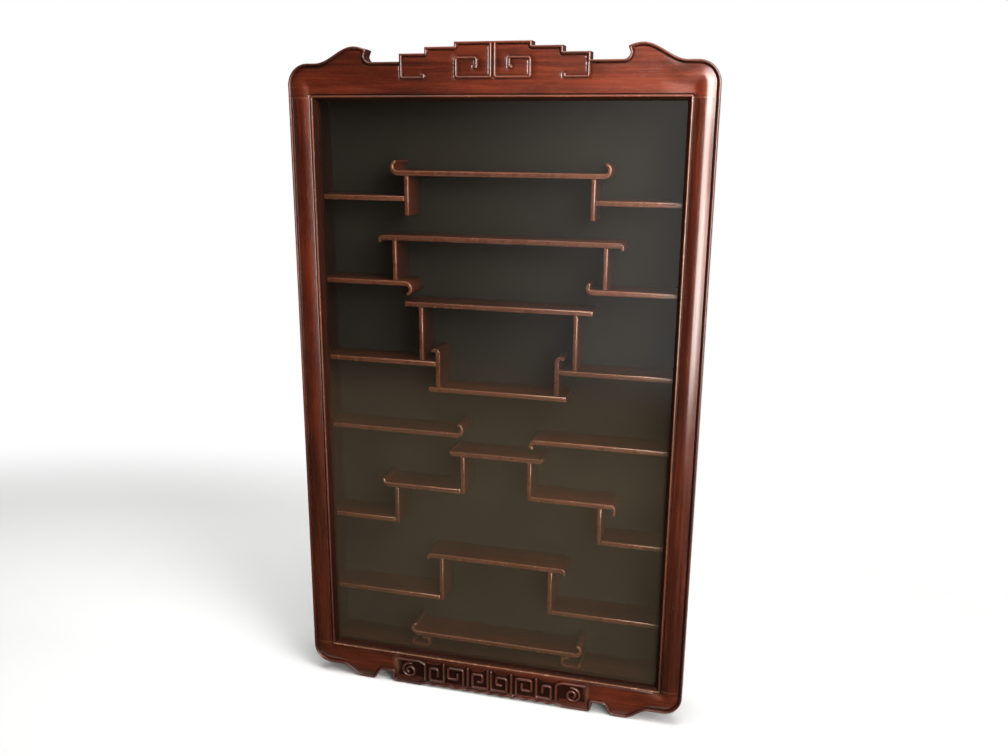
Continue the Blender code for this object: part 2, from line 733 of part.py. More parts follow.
# Hinges on the left side, with their pins on the axis of the door
def make_hinge(name, middle):
    knuckle = HINGE_LENGTH * KNUCKLE_SHARE
    door_length = HINGE_LENGTH - 2 * knuckle - 2 * SEAT_GAP
    axis = (pin_x, y_at(pin_depth), middle)
    low, high = middle - HINGE_LENGTH / 2, middle + HINGE_LENGTH / 2

    def knuckle_rod(centre, length, pivot):
        mesh = rod_mesh("knuckle", KNUCKLE_RADIUS, length, BORE_SIDES)
        return place_piece("knuckle", mesh, (axis[0], axis[1], centre), brass, pivot)

    def bore(pivot):
        mesh = rod_mesh("bore", PIN_RADIUS + PIN_CLEARANCE, 2 * HINGE_LENGTH, BORE_SIDES)
        return place_piece("bore", mesh, axis, brass, pivot)

    leaf_x = pin_x + KNUCKLE_RADIUS
    case_leaf = box_between(f"{name}_case_leaf", (leaf_x - LEAF_THICKNESS, axis[1], low),
                            (leaf_x, axis[1] + CASE_LEAF_WIDTH, high), brass, case_pivot)
    gap = box_between("gap", (leaf_x - 2 * LEAF_THICKNESS, axis[1] - SEAT_GAP, low + knuckle),
                      (leaf_x + SEAT_GAP, axis[1] + KNUCKLE_RADIUS + SEAT_GAP, high - knuckle),
                      brass, case_pivot)
    combine(case_leaf, gap, "DIFFERENCE")
    for centre in (low + knuckle / 2, high - knuckle / 2):
        combine(case_leaf, knuckle_rod(centre, knuckle, case_pivot), "UNION")
    combine(case_leaf, bore(case_pivot), "DIFFERENCE")

    leaf_y = axis[1] - KNUCKLE_RADIUS
    door_leaf = box_between(f"{name}_door_leaf", (pin_x - DOOR_LEAF_WIDTH, leaf_y, low),
                            (pin_x, leaf_y + LEAF_THICKNESS, high), brass, door_pivot)
    for start, stop in ((low - SEAT_GAP, low + knuckle + SEAT_GAP),
                        (high - knuckle - SEAT_GAP, high + SEAT_GAP)):
        tool = box_between("gap", (pin_x - KNUCKLE_RADIUS - SEAT_GAP, leaf_y - SEAT_GAP, start),
                           (pin_x + SEAT_GAP, leaf_y + 2 * LEAF_THICKNESS, stop), brass, door_pivot)
        combine(door_leaf, tool, "DIFFERENCE")
    combine(door_leaf, knuckle_rod(middle, door_length, door_pivot), "UNION")
    combine(door_leaf, bore(door_pivot), "DIFFERENCE")

    pin_mesh = rod_mesh("pin", PIN_RADIUS, HINGE_LENGTH + 4 * SEAT_GAP, PIN_SIDES)
    pin = place_piece(f"{name}_pin", pin_mesh, axis, brass, case_pivot)
    for end in (1, -1):
        centre = middle + end * (HINGE_LENGTH / 2 + SEAT_GAP + PIN_HEAD_HEIGHT / 2)
        head = place_piece("head", rod_mesh("head", PIN_HEAD_RADIUS, PIN_HEAD_HEIGHT, PIN_SIDES),
                           (axis[0], axis[1], centre), brass, case_pivot)
        combine(pin, head, "UNION")


make_hinge("upper_hinge", opening_top - HINGE_INSET)
make_hinge("lower_hinge", opening_bottom + HINGE_INSET)


# Magnetic catch on the right, and the hanging plate at the back
def make_catch():
    # Halfway up the space between two side shelves.
    above = shelf_level(WALL_LEVEL_SHARES["third"]) - SHELF_THICKNESS
    below = shelf_level(WALL_LEVEL_SHARES["fourth"])
    level = (above + below) / 2
    strike_wide, strike_thick, strike_tall = STRIKE_SIZE
    magnet_wide, magnet_deep, magnet_tall = MAGNET_SIZE
    strike_front = DOOR_THICKNESS + SEAT_GAP
    strike_right = rebate_half + SEAT_GAP + strike_wide
    box_between("catch_strike", (rebate_half + SEAT_GAP, y_at(strike_front), level - strike_tall / 2),
                (strike_right, y_at(strike_front + strike_thick), level + strike_tall / 2), steel, door_pivot)
    magnet_front = strike_front + strike_thick + SEAT_GAP
    magnet_right = inside_half - SEAT_GAP
    box_between("catch_magnet", (magnet_right - magnet_wide, y_at(magnet_front), level - magnet_tall / 2),
                (magnet_right, y_at(magnet_front + magnet_deep), level + magnet_tall / 2), steel, case_pivot)


def make_hanger():
    wide, thick, tall = HANGER_SIZE
    front = back_face + BACK_THICKNESS + SEAT_GAP
    high = top_board_top + HANGER_RISE
    plate = box_between("hanging_plate", (-wide / 2, y_at(front), high - tall),
                        (wide / 2, y_at(front + thick), high), brass, case_pivot)
    hole = place_piece("hole", rod_mesh("hole", HANGER_HOLE_RADIUS, 4 * BACK_RECESS, BORE_SIDES),
                       (0, y_at(front), high - HANGER_RISE / 2), brass, case_pivot)
    hole.rotation_euler = (math.radians(90), 0, 0)
    combine(plate, hole, "DIFFERENCE")


make_catch()
make_hanger()
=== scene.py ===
# Dresses the display cabinet: carved door frame, glass, curled shelves, case, hardware and a small studio.
import json
import math

import bmesh
import bpy
import numpy as np
from mathutils import Matrix, Vector
from mathutils.geometry import delaunay_2d_cdt

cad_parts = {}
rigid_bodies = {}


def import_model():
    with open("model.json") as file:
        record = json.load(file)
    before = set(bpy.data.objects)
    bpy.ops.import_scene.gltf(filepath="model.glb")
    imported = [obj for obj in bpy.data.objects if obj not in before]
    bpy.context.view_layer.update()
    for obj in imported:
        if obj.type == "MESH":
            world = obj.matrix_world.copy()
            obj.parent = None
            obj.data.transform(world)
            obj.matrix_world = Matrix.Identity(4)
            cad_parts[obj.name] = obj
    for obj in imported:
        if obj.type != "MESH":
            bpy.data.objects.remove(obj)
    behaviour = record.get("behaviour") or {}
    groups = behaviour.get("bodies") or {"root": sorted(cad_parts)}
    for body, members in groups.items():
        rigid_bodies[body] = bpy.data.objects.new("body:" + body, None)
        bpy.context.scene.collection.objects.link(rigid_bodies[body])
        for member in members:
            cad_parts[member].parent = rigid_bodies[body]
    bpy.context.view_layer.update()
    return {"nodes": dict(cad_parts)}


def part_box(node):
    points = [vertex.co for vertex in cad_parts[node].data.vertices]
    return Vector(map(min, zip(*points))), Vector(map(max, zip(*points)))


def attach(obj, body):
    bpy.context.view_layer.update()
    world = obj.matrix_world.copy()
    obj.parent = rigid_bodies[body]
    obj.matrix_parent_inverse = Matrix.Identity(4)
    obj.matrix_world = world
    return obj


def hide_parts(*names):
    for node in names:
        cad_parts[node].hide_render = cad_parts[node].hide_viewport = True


for leftover in list(bpy.data.objects):
    bpy.data.objects.remove(leftover, do_unlink=True)

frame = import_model()
print("frame loaded with", len(frame["nodes"]), "nodes")


def placed(name, data):
    made = bpy.data.objects.new(name, data)
    bpy.context.scene.collection.objects.link(made)
    return made


cameraView = {
    "place": (0.3286, -1.2490, 0.8312),
    "forward": (-0.2405, 0.9375, -0.2511),
    "up": (-0.0709, 0.2410, 0.9680),
    "lens": 32.87,
    "sensorWidth": 36,
    "nearest": 0.02,
}


def makeCamera():
    lens = bpy.data.cameras.new("studioCamera")
    lens.sensor_fit = "HORIZONTAL"
    lens.sensor_width = cameraView["sensorWidth"]
    lens.lens = cameraView["lens"]
    lens.clip_start = cameraView["nearest"]
    back = -Vector(cameraView["forward"]).normalized()
    right = Vector(cameraView["up"]).cross(back).normalized()
    turn = Matrix((right, back.cross(right), back)).transposed()
    camera = placed("studioCamera", lens)
    camera.matrix_world = Matrix.Translation(cameraView["place"]) @ turn.to_4x4()
    bpy.context.scene.camera = camera


makeCamera()
bpy.context.scene.view_settings.view_transform = "Standard"
print("camera set")


def forms(operation):  # an operator and its reflected form
    def plain(wire, other):
        return wire.finish.maths(operation, wire, other)

    def reflected(wire, other):
        return wire.finish.maths(operation, other, wire)
    return plain, reflected


class Wire:  # one socket, so that shader maths reads as plain sums
    def __init__(self, finish, socket):
        self.finish = finish
        self.socket = socket

    __add__, __radd__ = forms("ADD")
    __sub__, __rsub__ = forms("SUBTRACT")
    __mul__, __rmul__ = forms("MULTIPLY")
    __pow__, __rpow__ = forms("POWER")


class Finish:  # the nodes of one material, or of the world
    def __init__(self, owner):
        self.owner = owner
        owner.use_nodes = True
        self.tree = owner.node_tree
        self.tree.nodes.clear()

    def node(self, kind, settings, sockets, result=0):
        made = self.tree.nodes.new(kind)
        for key, value in settings.items():
            setattr(made, key, value)
        for key, value in sockets.items():
            if isinstance(value, Wire):
                self.tree.links.new(value.socket, made.inputs[key])
            else:
                made.inputs[key].default_value = value
        return Wire(self, made.outputs[result]) if made.outputs else None

    def maths(self, operation, first, second):
        return self.node("ShaderNodeMath", {"operation": operation}, {0: first, 1: second})

    def blend(self, share, first, second):
        return self.node("ShaderNodeMix", {"data_type": "RGBA"}, {0: share, 6: first, 7: second}, 2)

    def between(self, value, low, high):  # eased from 0 at low to 1 at high
        return self.node("ShaderNodeMapRange", {"interpolation_type": "SMOOTHSTEP"},
                         {"Value": value, "From Min": low, "From Max": high})

    def place(self):
        return self.node("ShaderNodeTexCoord", {}, {}, "Object")

    def stretched(self, place, grain, long, wide):
        # one unit of noise is long along the grain and wide across it
        scale = [1 / wide] * 3
        scale["XYZ".index(grain)] = 1 / long
        return self.node("ShaderNodeMapping", {}, {"Vector": place, "Scale": scale})

    def noise(self, place, scale=1.0, detail=3.0, rough=0.55, swirl=0.0):
        return self.node("ShaderNodeTexNoise", {}, {"Vector": place, "Scale": scale, "Detail": detail,
                                                    "Roughness": rough, "Distortion": swirl})

    def painted(self, name):  # a value that the mesh carries at its points
        return self.node("ShaderNodeAttribute", {"attribute_name": name}, {}, "Fac")

    def axis(self, place, name):
        return self.node("ShaderNodeSeparateXYZ", {}, {"Vector": place}, name)

    def bump(self, height, strength, distance):
        return self.node("ShaderNodeBump", {},
                         {"Height": height, "Strength": strength, "Distance": distance})

    def principled(self, sockets):
        return self.node("ShaderNodeBsdfPrincipled", {}, sockets)

    def surface(self, shader):
        self.node("ShaderNodeOutputMaterial", {}, {"Surface": shader})
        return self.owner


def tone(red, green, blue):  # a screen colour as the linear colour that a shader takes
    straight = []
    for level in (red, green, blue):
        level /= 255
        straight.append(level / 12.92 if level <= 0.04045 else ((level + 0.055) / 1.055) ** 2.4)
    return (*straight, 1.0)


# Finishes

def newFinish(name):
    finish = Finish(bpy.data.materials.new(name))
    return finish, finish.place()


frameWoodLook = {
    "dark": tone(52, 17, 8),
    "mid": tone(110, 43, 23),
    "light": tone(136, 68, 43),
    "pore": tone(38, 12, 7),
    # lighter tone for wear and for painted highlight on beads and edges
    "wornAndHighlight": tone(190, 144, 112),
    # near-black tone for grime and painted shade
    "grimeAndShade": tone(16, 7, 4),
    "streaks": 0.34,  # share of the light streaks
    "pores": 0.40,  # share and depth of the dark pores
    "relief": 0.30,  # strength of the grain's bump
    "roughness": 0.22,
    "gloss": 0.40,
    "glossTint": (1.0, 0.91, 0.86, 1.0),
    "coat": 0.22,
    "coatRoughness": 0.12,
}
# darker, dull copy of the frame wood: painted shade on the lip, the glazing strips, the sawn edges and the
# sunk ground
lipShadeWoodLook = {
    **frameWoodLook,
    "dark": tone(34, 13, 8),
    "mid": tone(52, 24, 15),
    "light": tone(66, 34, 22),
    "roughness": 0.60,
    "gloss": 0.02,
    "coat": 0.0,
}
shelfWoodLook = {
    "dark": tone(52, 21, 10),
    "mid": tone(98, 44, 25),
    "light": tone(128, 66, 41),
    "pore": tone(26, 11, 7),
    "wornAndHighlight": tone(200, 136, 106),
    "grimeAndShade": tone(26, 13, 9),
    "streaks": 0.50,
    "pores": 0.10,
    "relief": 0.10,
    "roughness": 0.28,
    "gloss": 0.55,
    "glossTint": (1.0, 0.90, 0.82, 1.0),
    "coat": 0.12,
    "coatRoughness": 0.18,
}
caseWoodLook = {
    "dark": tone(44, 19, 10),
    "mid": tone(74, 36, 22),
    "light": tone(92, 49, 32),
    "pore": tone(20, 9, 6),
    "wornAndHighlight": tone(128, 88, 66),
    "grimeAndShade": tone(16, 8, 6),
    "streaks": 0.50,
    "pores": 0.50,
    "relief": 0.30,
    "roughness": 0.55,
    "gloss": 0.14,
    "glossTint": (1.0, 0.88, 0.80, 1.0),
    "coat": 0.0,
    "coatRoughness": 0.35,
}
insideShadeWoodLook = {  # a darker copy of the case wood for the faces that look into the case: painted shade
    **caseWoodLook,
    "dark": tone(20, 11, 8),
    "mid": tone(36, 20, 14),
    "light": tone(46, 27, 20),
}


woodGrain = {  # length of a mark along the grain and width across it
    "drift": (0.300, 0.035),
    "streak": (0.140, 0.0045),
    "fibre": (0.022, 0.0007),
    "pore": (0.0085, 0.00045),
    "cloud": (0.085, 0.028),
    "bumpDepth": 0.0003,
}


def polishedWood(name, look, grain):
    finish, place = newFinish(name)

    def marks(kind, **settings):
        return finish.noise(finish.stretched(place, grain, *woodGrain[kind]), **settings)

    drift = marks("drift", detail=2)
    streak = marks("streak", detail=5, rough=0.6, swirl=0.5)
    fibre = marks("fibre", detail=2)
    pore = finish.between(marks("pore", detail=1), 0.63, 0.74)
    smudge = finish.noise(place, 38, detail=4)
    cloud = marks("cloud", detail=5, rough=0.6)
    peel = finish.noise(place, 620, detail=2)
    scuff = finish.between(finish.noise(place, 150, detail=5, rough=0.7), 0.56, 0.66)
    wearAndHighlight = finish.painted("wearAndHighlight")
    grimeAndShade = finish.painted("grimeAndShade")

    depth = finish.between(drift + (streak - 0.5) * 0.6, 0.22, 0.80)
    colour = finish.blend(depth, look["dark"], look["mid"])
    colour = finish.blend(finish.between(streak, 0.50, 0.85) * look["streaks"], colour, look["light"])
    colour = finish.blend(finish.between(cloud, 0.44, 0.70) * 0.60, colour, look["dark"])
    colour = finish.blend(finish.between(fibre, 0.40, 0.75) * 0.25, colour, look["dark"])
    colour = finish.blend(pore * look["pores"], colour, look["pore"])
    # wear with painted highlight, then grime with painted shade, as the mesh's points carry them
    colour = finish.blend(wearAndHighlight * (0.28 + 0.45 * scuff), colour, look["wornAndHighlight"])
    colour = finish.blend(grimeAndShade * (0.70 + 0.30 * smudge), colour, look["grimeAndShade"])

    roughness = look["roughness"] + (smudge - 0.5) * 0.14 + pore * 0.14 + grimeAndShade * 0.25 + wearAndHighlight * scuff * 0.10
    height = fibre * 0.30 - pore * look["pores"] + streak * 0.4 + peel * 0.25 - wearAndHighlight * scuff * 0.6
    return finish.surface(finish.principled({
        "Base Color": colour,
        "Roughness": roughness,
        "Normal": finish.bump(height, look["relief"], woodGrain["bumpDepth"]),
        "Specular IOR Level": look["gloss"],
        "Specular Tint": look["glossTint"],
        "Coat Weight": look["coat"] * (1 - 0.9 * grimeAndShade),
        "Coat Roughness": look["coatRoughness"],
    }))


liningLook = {
    "cloth": tone(31, 28, 23),
    "thread": tone(37, 33, 26),
    "faded": tone(44, 39, 30),
    "bareWood": tone(132, 94, 64),
    "bareDark": tone(84, 54, 35),
    "pitch": 0.0008,  # thread spacing of the weave
    "bandsAtOne": 0.314,  # spacing of a wave texture's bands at scale 1
    "slub": (0.030, 0.0012),  # length and width of a thick thread
    "boardGrain": (0.160, 0.004),
    "wallSide": 0.0400,  # depth at which cloth gives way to bare board,
    "wallFade": 0.0004,  # over this run
}


def clothLining(name):
    look = liningLook
    finish, place = newFinish(name)
    threads = {"Vector": place, "Scale": look["bandsAtOne"] / look["pitch"],
               "Distortion": 0.6, "Detail": 1.0}
    warp, weft = (finish.node("ShaderNodeTexWave", {"bands_direction": way}, threads, 1) for way in "XZ")
    weave = warp * weft
    patch = finish.noise(place, 9, detail=4)
    slub = finish.noise(finish.stretched(place, "X", *look["slub"]), detail=2)
    cloth = finish.blend(weave * 0.50, look["cloth"], look["thread"])
    cloth = finish.blend(finish.between(patch, 0.45, 0.75) * 0.35, cloth, look["faded"])
    cloth = finish.blend(finish.between(slub, 0.58, 0.72) * 0.25, cloth, look["thread"])
    grain = finish.noise(finish.stretched(place, "Z", *look["boardGrain"]), detail=5, rough=0.6, swirl=0.4)
    board = finish.blend(grain, look["bareDark"], look["bareWood"])
    wallSide = finish.between(finish.axis(place, "Y"), look["wallSide"],
                              look["wallSide"] + look["wallFade"])
    return finish.surface(finish.principled({
        "Base Color": finish.blend(wallSide, cloth, board),
        "Roughness": 0.90 - wallSide * 0.22,
        "Specular IOR Level": 0.14,
        "Normal": finish.bump(weave * (1 - wallSide) + grain * wallSide, 0.04, 0.0001),
        "Sheen Weight": 0.05,
    }))


glassLook = {
    "tint": (0.95, 0.94, 0.92, 1.0),
    "facing": 0.040,  # share that one face mirrors when seen straight on
    # warm film: dust, and a painted reflection of the floor on the lower pane
    "dustAndReflection": tone(166, 144, 112),
    "dustAndReflectionShare": 0.042,
    "reflectionFade": (0.56, 0.36),  # the dust and the painted reflection of the floor thin out from the second level up to the first, and this share of them is left above
    "reflectionAbove": 0.10,  # and this share of it is left above
    "speckShare": 0.05,
}


def paneGlass(name):
    look = glassLook
    finish, place = newFinish(name)
    slant = finish.node("ShaderNodeLayerWeight", {}, {"Blend": 0.5}, "Facing")
    mirrorShare = look["facing"] + (1 - look["facing"]) * slant ** 5
    cloud = finish.noise(place, 7, detail=5, rough=0.65)
    speck = finish.between(finish.noise(place, 420, detail=1), 0.73, 0.78)
    low = finish.between(finish.axis(place, "Z"), *look["reflectionFade"])
    # a film of dust that also paints the floor's reflection on the lower pane
    dustAndReflectionFilm = look["dustAndReflectionShare"] * (0.6 + 0.4 * finish.between(cloud, 0.35, 0.75))
    dustAndReflection = dustAndReflectionFilm * (look["reflectionAbove"] + (1 - look["reflectionAbove"]) * low) + speck * low * look["speckShare"]
    clear = finish.node("ShaderNodeBsdfTransparent", {}, {"Color": look["tint"]})
    mirror = finish.principled({"Base Color": (1, 1, 1, 1), "Metallic": 1.0, "Roughness": 0.015})
    dustAndReflectionShader = finish.principled({"Base Color": look["dustAndReflection"], "Roughness": 0.9})
    pane = finish.node("ShaderNodeMixShader", {}, {0: mirrorShare, 1: clear, 2: mirror})
    return finish.surface(finish.node("ShaderNodeMixShader", {}, {0: dustAndReflection, 1: pane, 2: dustAndReflectionShader}))


metalLook = {
    "brass": (tone(186, 146, 78), tone(108, 75, 36), 0.34),
    "steel": (tone(132, 132, 134), tone(76, 72, 68), 0.44),
}


def agedMetal(name, kind):
    bright, tarnished, roughness = metalLook[kind]
    finish, place = newFinish(name)
    cloud = finish.between(finish.noise(place, 60, detail=6, rough=0.65), 0.38, 0.68)
    scratch = finish.noise(finish.stretched(place, "Z", 0.006, 0.00025), detail=2)
    pit = finish.between(finish.noise(place, 900, detail=1), 0.70, 0.80)
    colour = finish.blend(cloud * 0.75 + pit * 0.2, bright, tarnished)
    return finish.surface(finish.principled({
        "Base Color": colour,
        "Metallic": 1.0,
        "Roughness": roughness + cloud * 0.24 + (scratch - 0.5) * 0.12,
        "Normal": finish.bump(scratch * 0.4 - pit * 0.6, 0.15, 0.0002),
    }))


railWood = polishedWood("railWood", frameWoodLook, "X")
stileWood = polishedWood("stileWood", frameWoodLook, "Z")
railLipShadeWood = polishedWood("railLipShadeWood", lipShadeWoodLook, "X")
stileLipShadeWood = polishedWood("stileLipShadeWood", lipShadeWoodLook, "Z")
shelfWood = polishedWood("shelfWood", shelfWoodLook, "X")
uprightWood = polishedWood("uprightWood", shelfWoodLook, "Z")
boardWood = polishedWood("boardWood", caseWoodLook, "X")
sideWood = polishedWood("sideWood", caseWoodLook, "Z")
sideInsideShadeWood = polishedWood("sideInsideShadeWood", insideShadeWoodLook, "Z")
backCloth = clothLining("backCloth")
clearPane = paneGlass("clearPane")
agedBrass = agedMetal("agedBrass", "brass")
agedSteel = agedMetal("agedSteel", "steel")
print("finishes mixed:", len(bpy.data.materials))


# Mesh helpers

sharpAngle = math.radians(38)  # faces that meet at more than this keep a crisp edge
hair = 1e-6  # what lies closer than this counts as touching


def meshFrom(builder, name):
    mesh = bpy.data.meshes.new(name)
    builder.to_mesh(mesh)
    builder.free()
    return mesh


def finishMesh(mesh, materials):
    mesh.shade_smooth()
    mesh.set_sharp_from_angle(angle=sharpAngle)
    for material in materials:
        mesh.materials.append(material)


def finishPiece(builder, name, body, materials, replaced):
    bmesh.ops.recalc_face_normals(builder, faces=builder.faces)
    mesh = meshFrom(builder, name)
    finishMesh(mesh, materials)
    piece = placed(name, mesh)
    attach(piece, body)
    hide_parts(replaced)


def wearLightAndShadeLayers(builder):  # wear with painted highlight, and grime with painted shade, at each point
    return [builder.verts.layers.float.new(name) for name in ("wearAndHighlight", "grimeAndShade")]


def bridge(builder, first, second):  # the faces between two rings with as many points
    count = len(first)
    return [builder.faces.new([first[index], first[(index + 1) % count],
                               second[(index + 1) % count], second[index]]) for index in range(count)]


def bothHalves(path):
    return [[(side * across, out) for across, out in path] for side in (1, -1)]


def arc(centre, radius, start, stop, step=5):
    count = math.ceil(abs(stop - start) / step)
    angles = [math.radians(start + (stop - start) * index / count) for index in range(count + 1)]
    return [(centre[0] + radius * math.cos(a), centre[1] + radius * math.sin(a)) for a in angles]


def ease(start, stop, count=22):  # an S-shaped run that leaves and arrives level
    run = []
    for index in range(count + 1):
        share = index / count
        lift = (1 - math.cos(math.pi * share)) / 2
        run.append((start[0] + (stop[0] - start[0]) * share, start[1] + (stop[1] - start[1]) * lift))
    return run


def divided(path, gap):  # the same path with no run longer than the gap
    fine = [path[0]]
    for start, stop in zip(path[:-1], path[1:]):
        count = max(1, math.ceil(math.dist(start, stop) / gap))
        fine += [(start[0] + (stop[0] - start[0]) * index / count,
                  start[1] + (stop[1] - start[1]) * index / count) for index in range(1, count + 1)]
    return fine


def distanceTo(spots, path):
    best = np.full(len(spots), 1e9)
    for start, stop in zip(np.array(path[:-1]), np.array(path[1:])):
        run = stop - start
        share = np.clip((spots - start) @ run / max(run @ run, 1e-18), 0, 1)
        best = np.minimum(best, np.linalg.norm(spots - start - share[:, None] * run, axis=1))
    return best


def insideLoop(spots, loop):
    across, up = spots[:, 0], spots[:, 1]
    hit = np.zeros(len(spots), bool)
    for (x0, v0), (x1, v1) in zip(loop, loop[1:] + loop[:1]):
        if v0 != v1:
            hit ^= ((v0 > up) != (v1 > up)) & (across < (x1 - x0) * (up - v0) / (v1 - v0) + x0)
    return hit


fanStep = 0.35  # largest angle between the rows round a corner, in radians
rowSlack = 2e-5  # a row may come this much closer to the path than it should


def rowsBeside(path, offsets, gap, sides, caps=False):
    # rows of points that run beside a path, fanned round its corners, without those that a corner swallows
    spots, reach = [], []

    def addRows(base, along):
        for side in sides:
            for offset in offsets:
                spots.append((base[0] - side * along[1] * offset, base[1] + side * along[0] * offset))
                reach.append(offset)

    for end, before in ((path[0], path[1]), (path[-1], path[-2])) if caps else ():
        heading = math.atan2(end[1] - before[1], end[0] - before[0])
        for index in range(-4, 5):
            angle = heading + math.pi * index / 8
            for offset in offsets:
                spots.append((end[0] + offset * math.cos(angle), end[1] + offset * math.sin(angle)))
                reach.append(offset)
    for start, stop in zip(path[:-1], path[1:]):
        length = math.dist(start, stop)
        if length < hair:
            continue
        along = ((stop[0] - start[0]) / length, (stop[1] - start[1]) / length)
        count = max(1, math.ceil(length / gap))
        for index in range(count + 1):
            addRows([begin + step * length * index / count for begin, step in zip(start, along)], along)
    for before, corner, after in zip(path[:-2], path[1:-1], path[2:]):
        first = math.atan2(corner[1] - before[1], corner[0] - before[0])
        bend = math.atan2(after[1] - corner[1], after[0] - corner[0]) - first
        bend = (bend + math.pi) % (2 * math.pi) - math.pi
        count = math.ceil(abs(bend) / fanStep)
        for index in range(1, count):
            heading = first + bend * index / count
            addRows(corner, (math.cos(heading), math.sin(heading)))
    spots, reach = np.array(spots), np.array(reach)
    return spots[distanceTo(spots, path) > reach - rowSlack]


def spaced(fresh, settled, spacing):  # the fresh spots that keep their distance from all others
    cells, kept = {}, []
    for spot in settled:
        cells.setdefault((int(spot[0] // spacing), int(spot[1] // spacing)), []).append(spot)
    for x, v in fresh:
        column, row = int(x // spacing), int(v // spacing)
        near = [spot for i in (-1, 0, 1) for j in (-1, 0, 1)
                for spot in cells.get((column + i, row + j), ())]
        if all(math.dist((x, v), spot) > spacing for spot in near):
            cells.setdefault((column, row), []).append((x, v))
            kept.append((x, v))
    return kept


# Door frame. Rails are drawn as (across, out): out is the way from the opening's edge, away from the glass.

doorShape = {
    "halfOpening": 0.2550,
    "halfWidth": 0.2900,
    "openingTop": 0.8838,
    "openingBottom": 0.0528,
    "front": -0.0450,
    "thickness": 0.0220,
    "seam": 0.00003,
    "lipWidth": 0.0040,
    "lipTop": 0.0025,
    "lipEdge": 0.0060,
    "lipBack": 0.0095,
    "rebate": 0.0025,
}
moulding = {
    "field": 0.0020,  # depth of the plain wood behind the front plane
    "crown": 0.0030,  # swell of the stile's round body
    "crownDrop": 0.0012,  # the body starts this much lower at its grooves,
    "dropReach": 0.0006,  # within this reach of a bead
    "crownFade": (0.214, 0.257),  # where the swell dies away along a rail
    "innerBead": 0.0027,
    "innerRise": 0.0012,
    "rimBead": 0.0034,
    "rimRise": 0.0016,
    "groove": 0.0021,
    "sink": 0.0016,
    "cornerRun": 0.0120,  # a rail's groove takes the stile's depth over this run
    "besideTight": 1.4,  # the groove beside a raised line is narrower, shallower and has less painted shade, by these
    "besideSink": 0.45,  # shallower
    "besideShade": 0.85,  # and cleaner by these
    "rimWearAndHighlight": 0.12,
    "rimGrimeAndShade": 0.35,
    "edgeShade": 0.38,  # painted shade darkens the body towards the beads
    "edgeReach": 0.0090,
    "chipReach": 1.4,
    "lipBend": 1.25,
    "lipShade": 0.45,
    "lipShadeRise": 6,
    "lipRows": (0.0007, 0.0015, 0.0024, 0.0033),
}
halfOpening, halfWidth = doorShape["halfOpening"], doorShape["halfWidth"]
pathEnd = 0.2  # paths along the stiles are cut off here
openingPath = [(halfOpening, -pathEnd), (halfOpening, 0.0), (-halfOpening, 0.0), (-halfOpening, -pathEnd)]


def beadRise(distance, half, rise):
    return rise * np.sqrt(np.clip(1 - (distance / half) ** 2, 0, 1))


def grooveSink(distance):
    share = np.clip(distance / moulding["groove"], 0, 1)
    return moulding["sink"] * np.sin(math.pi * share)


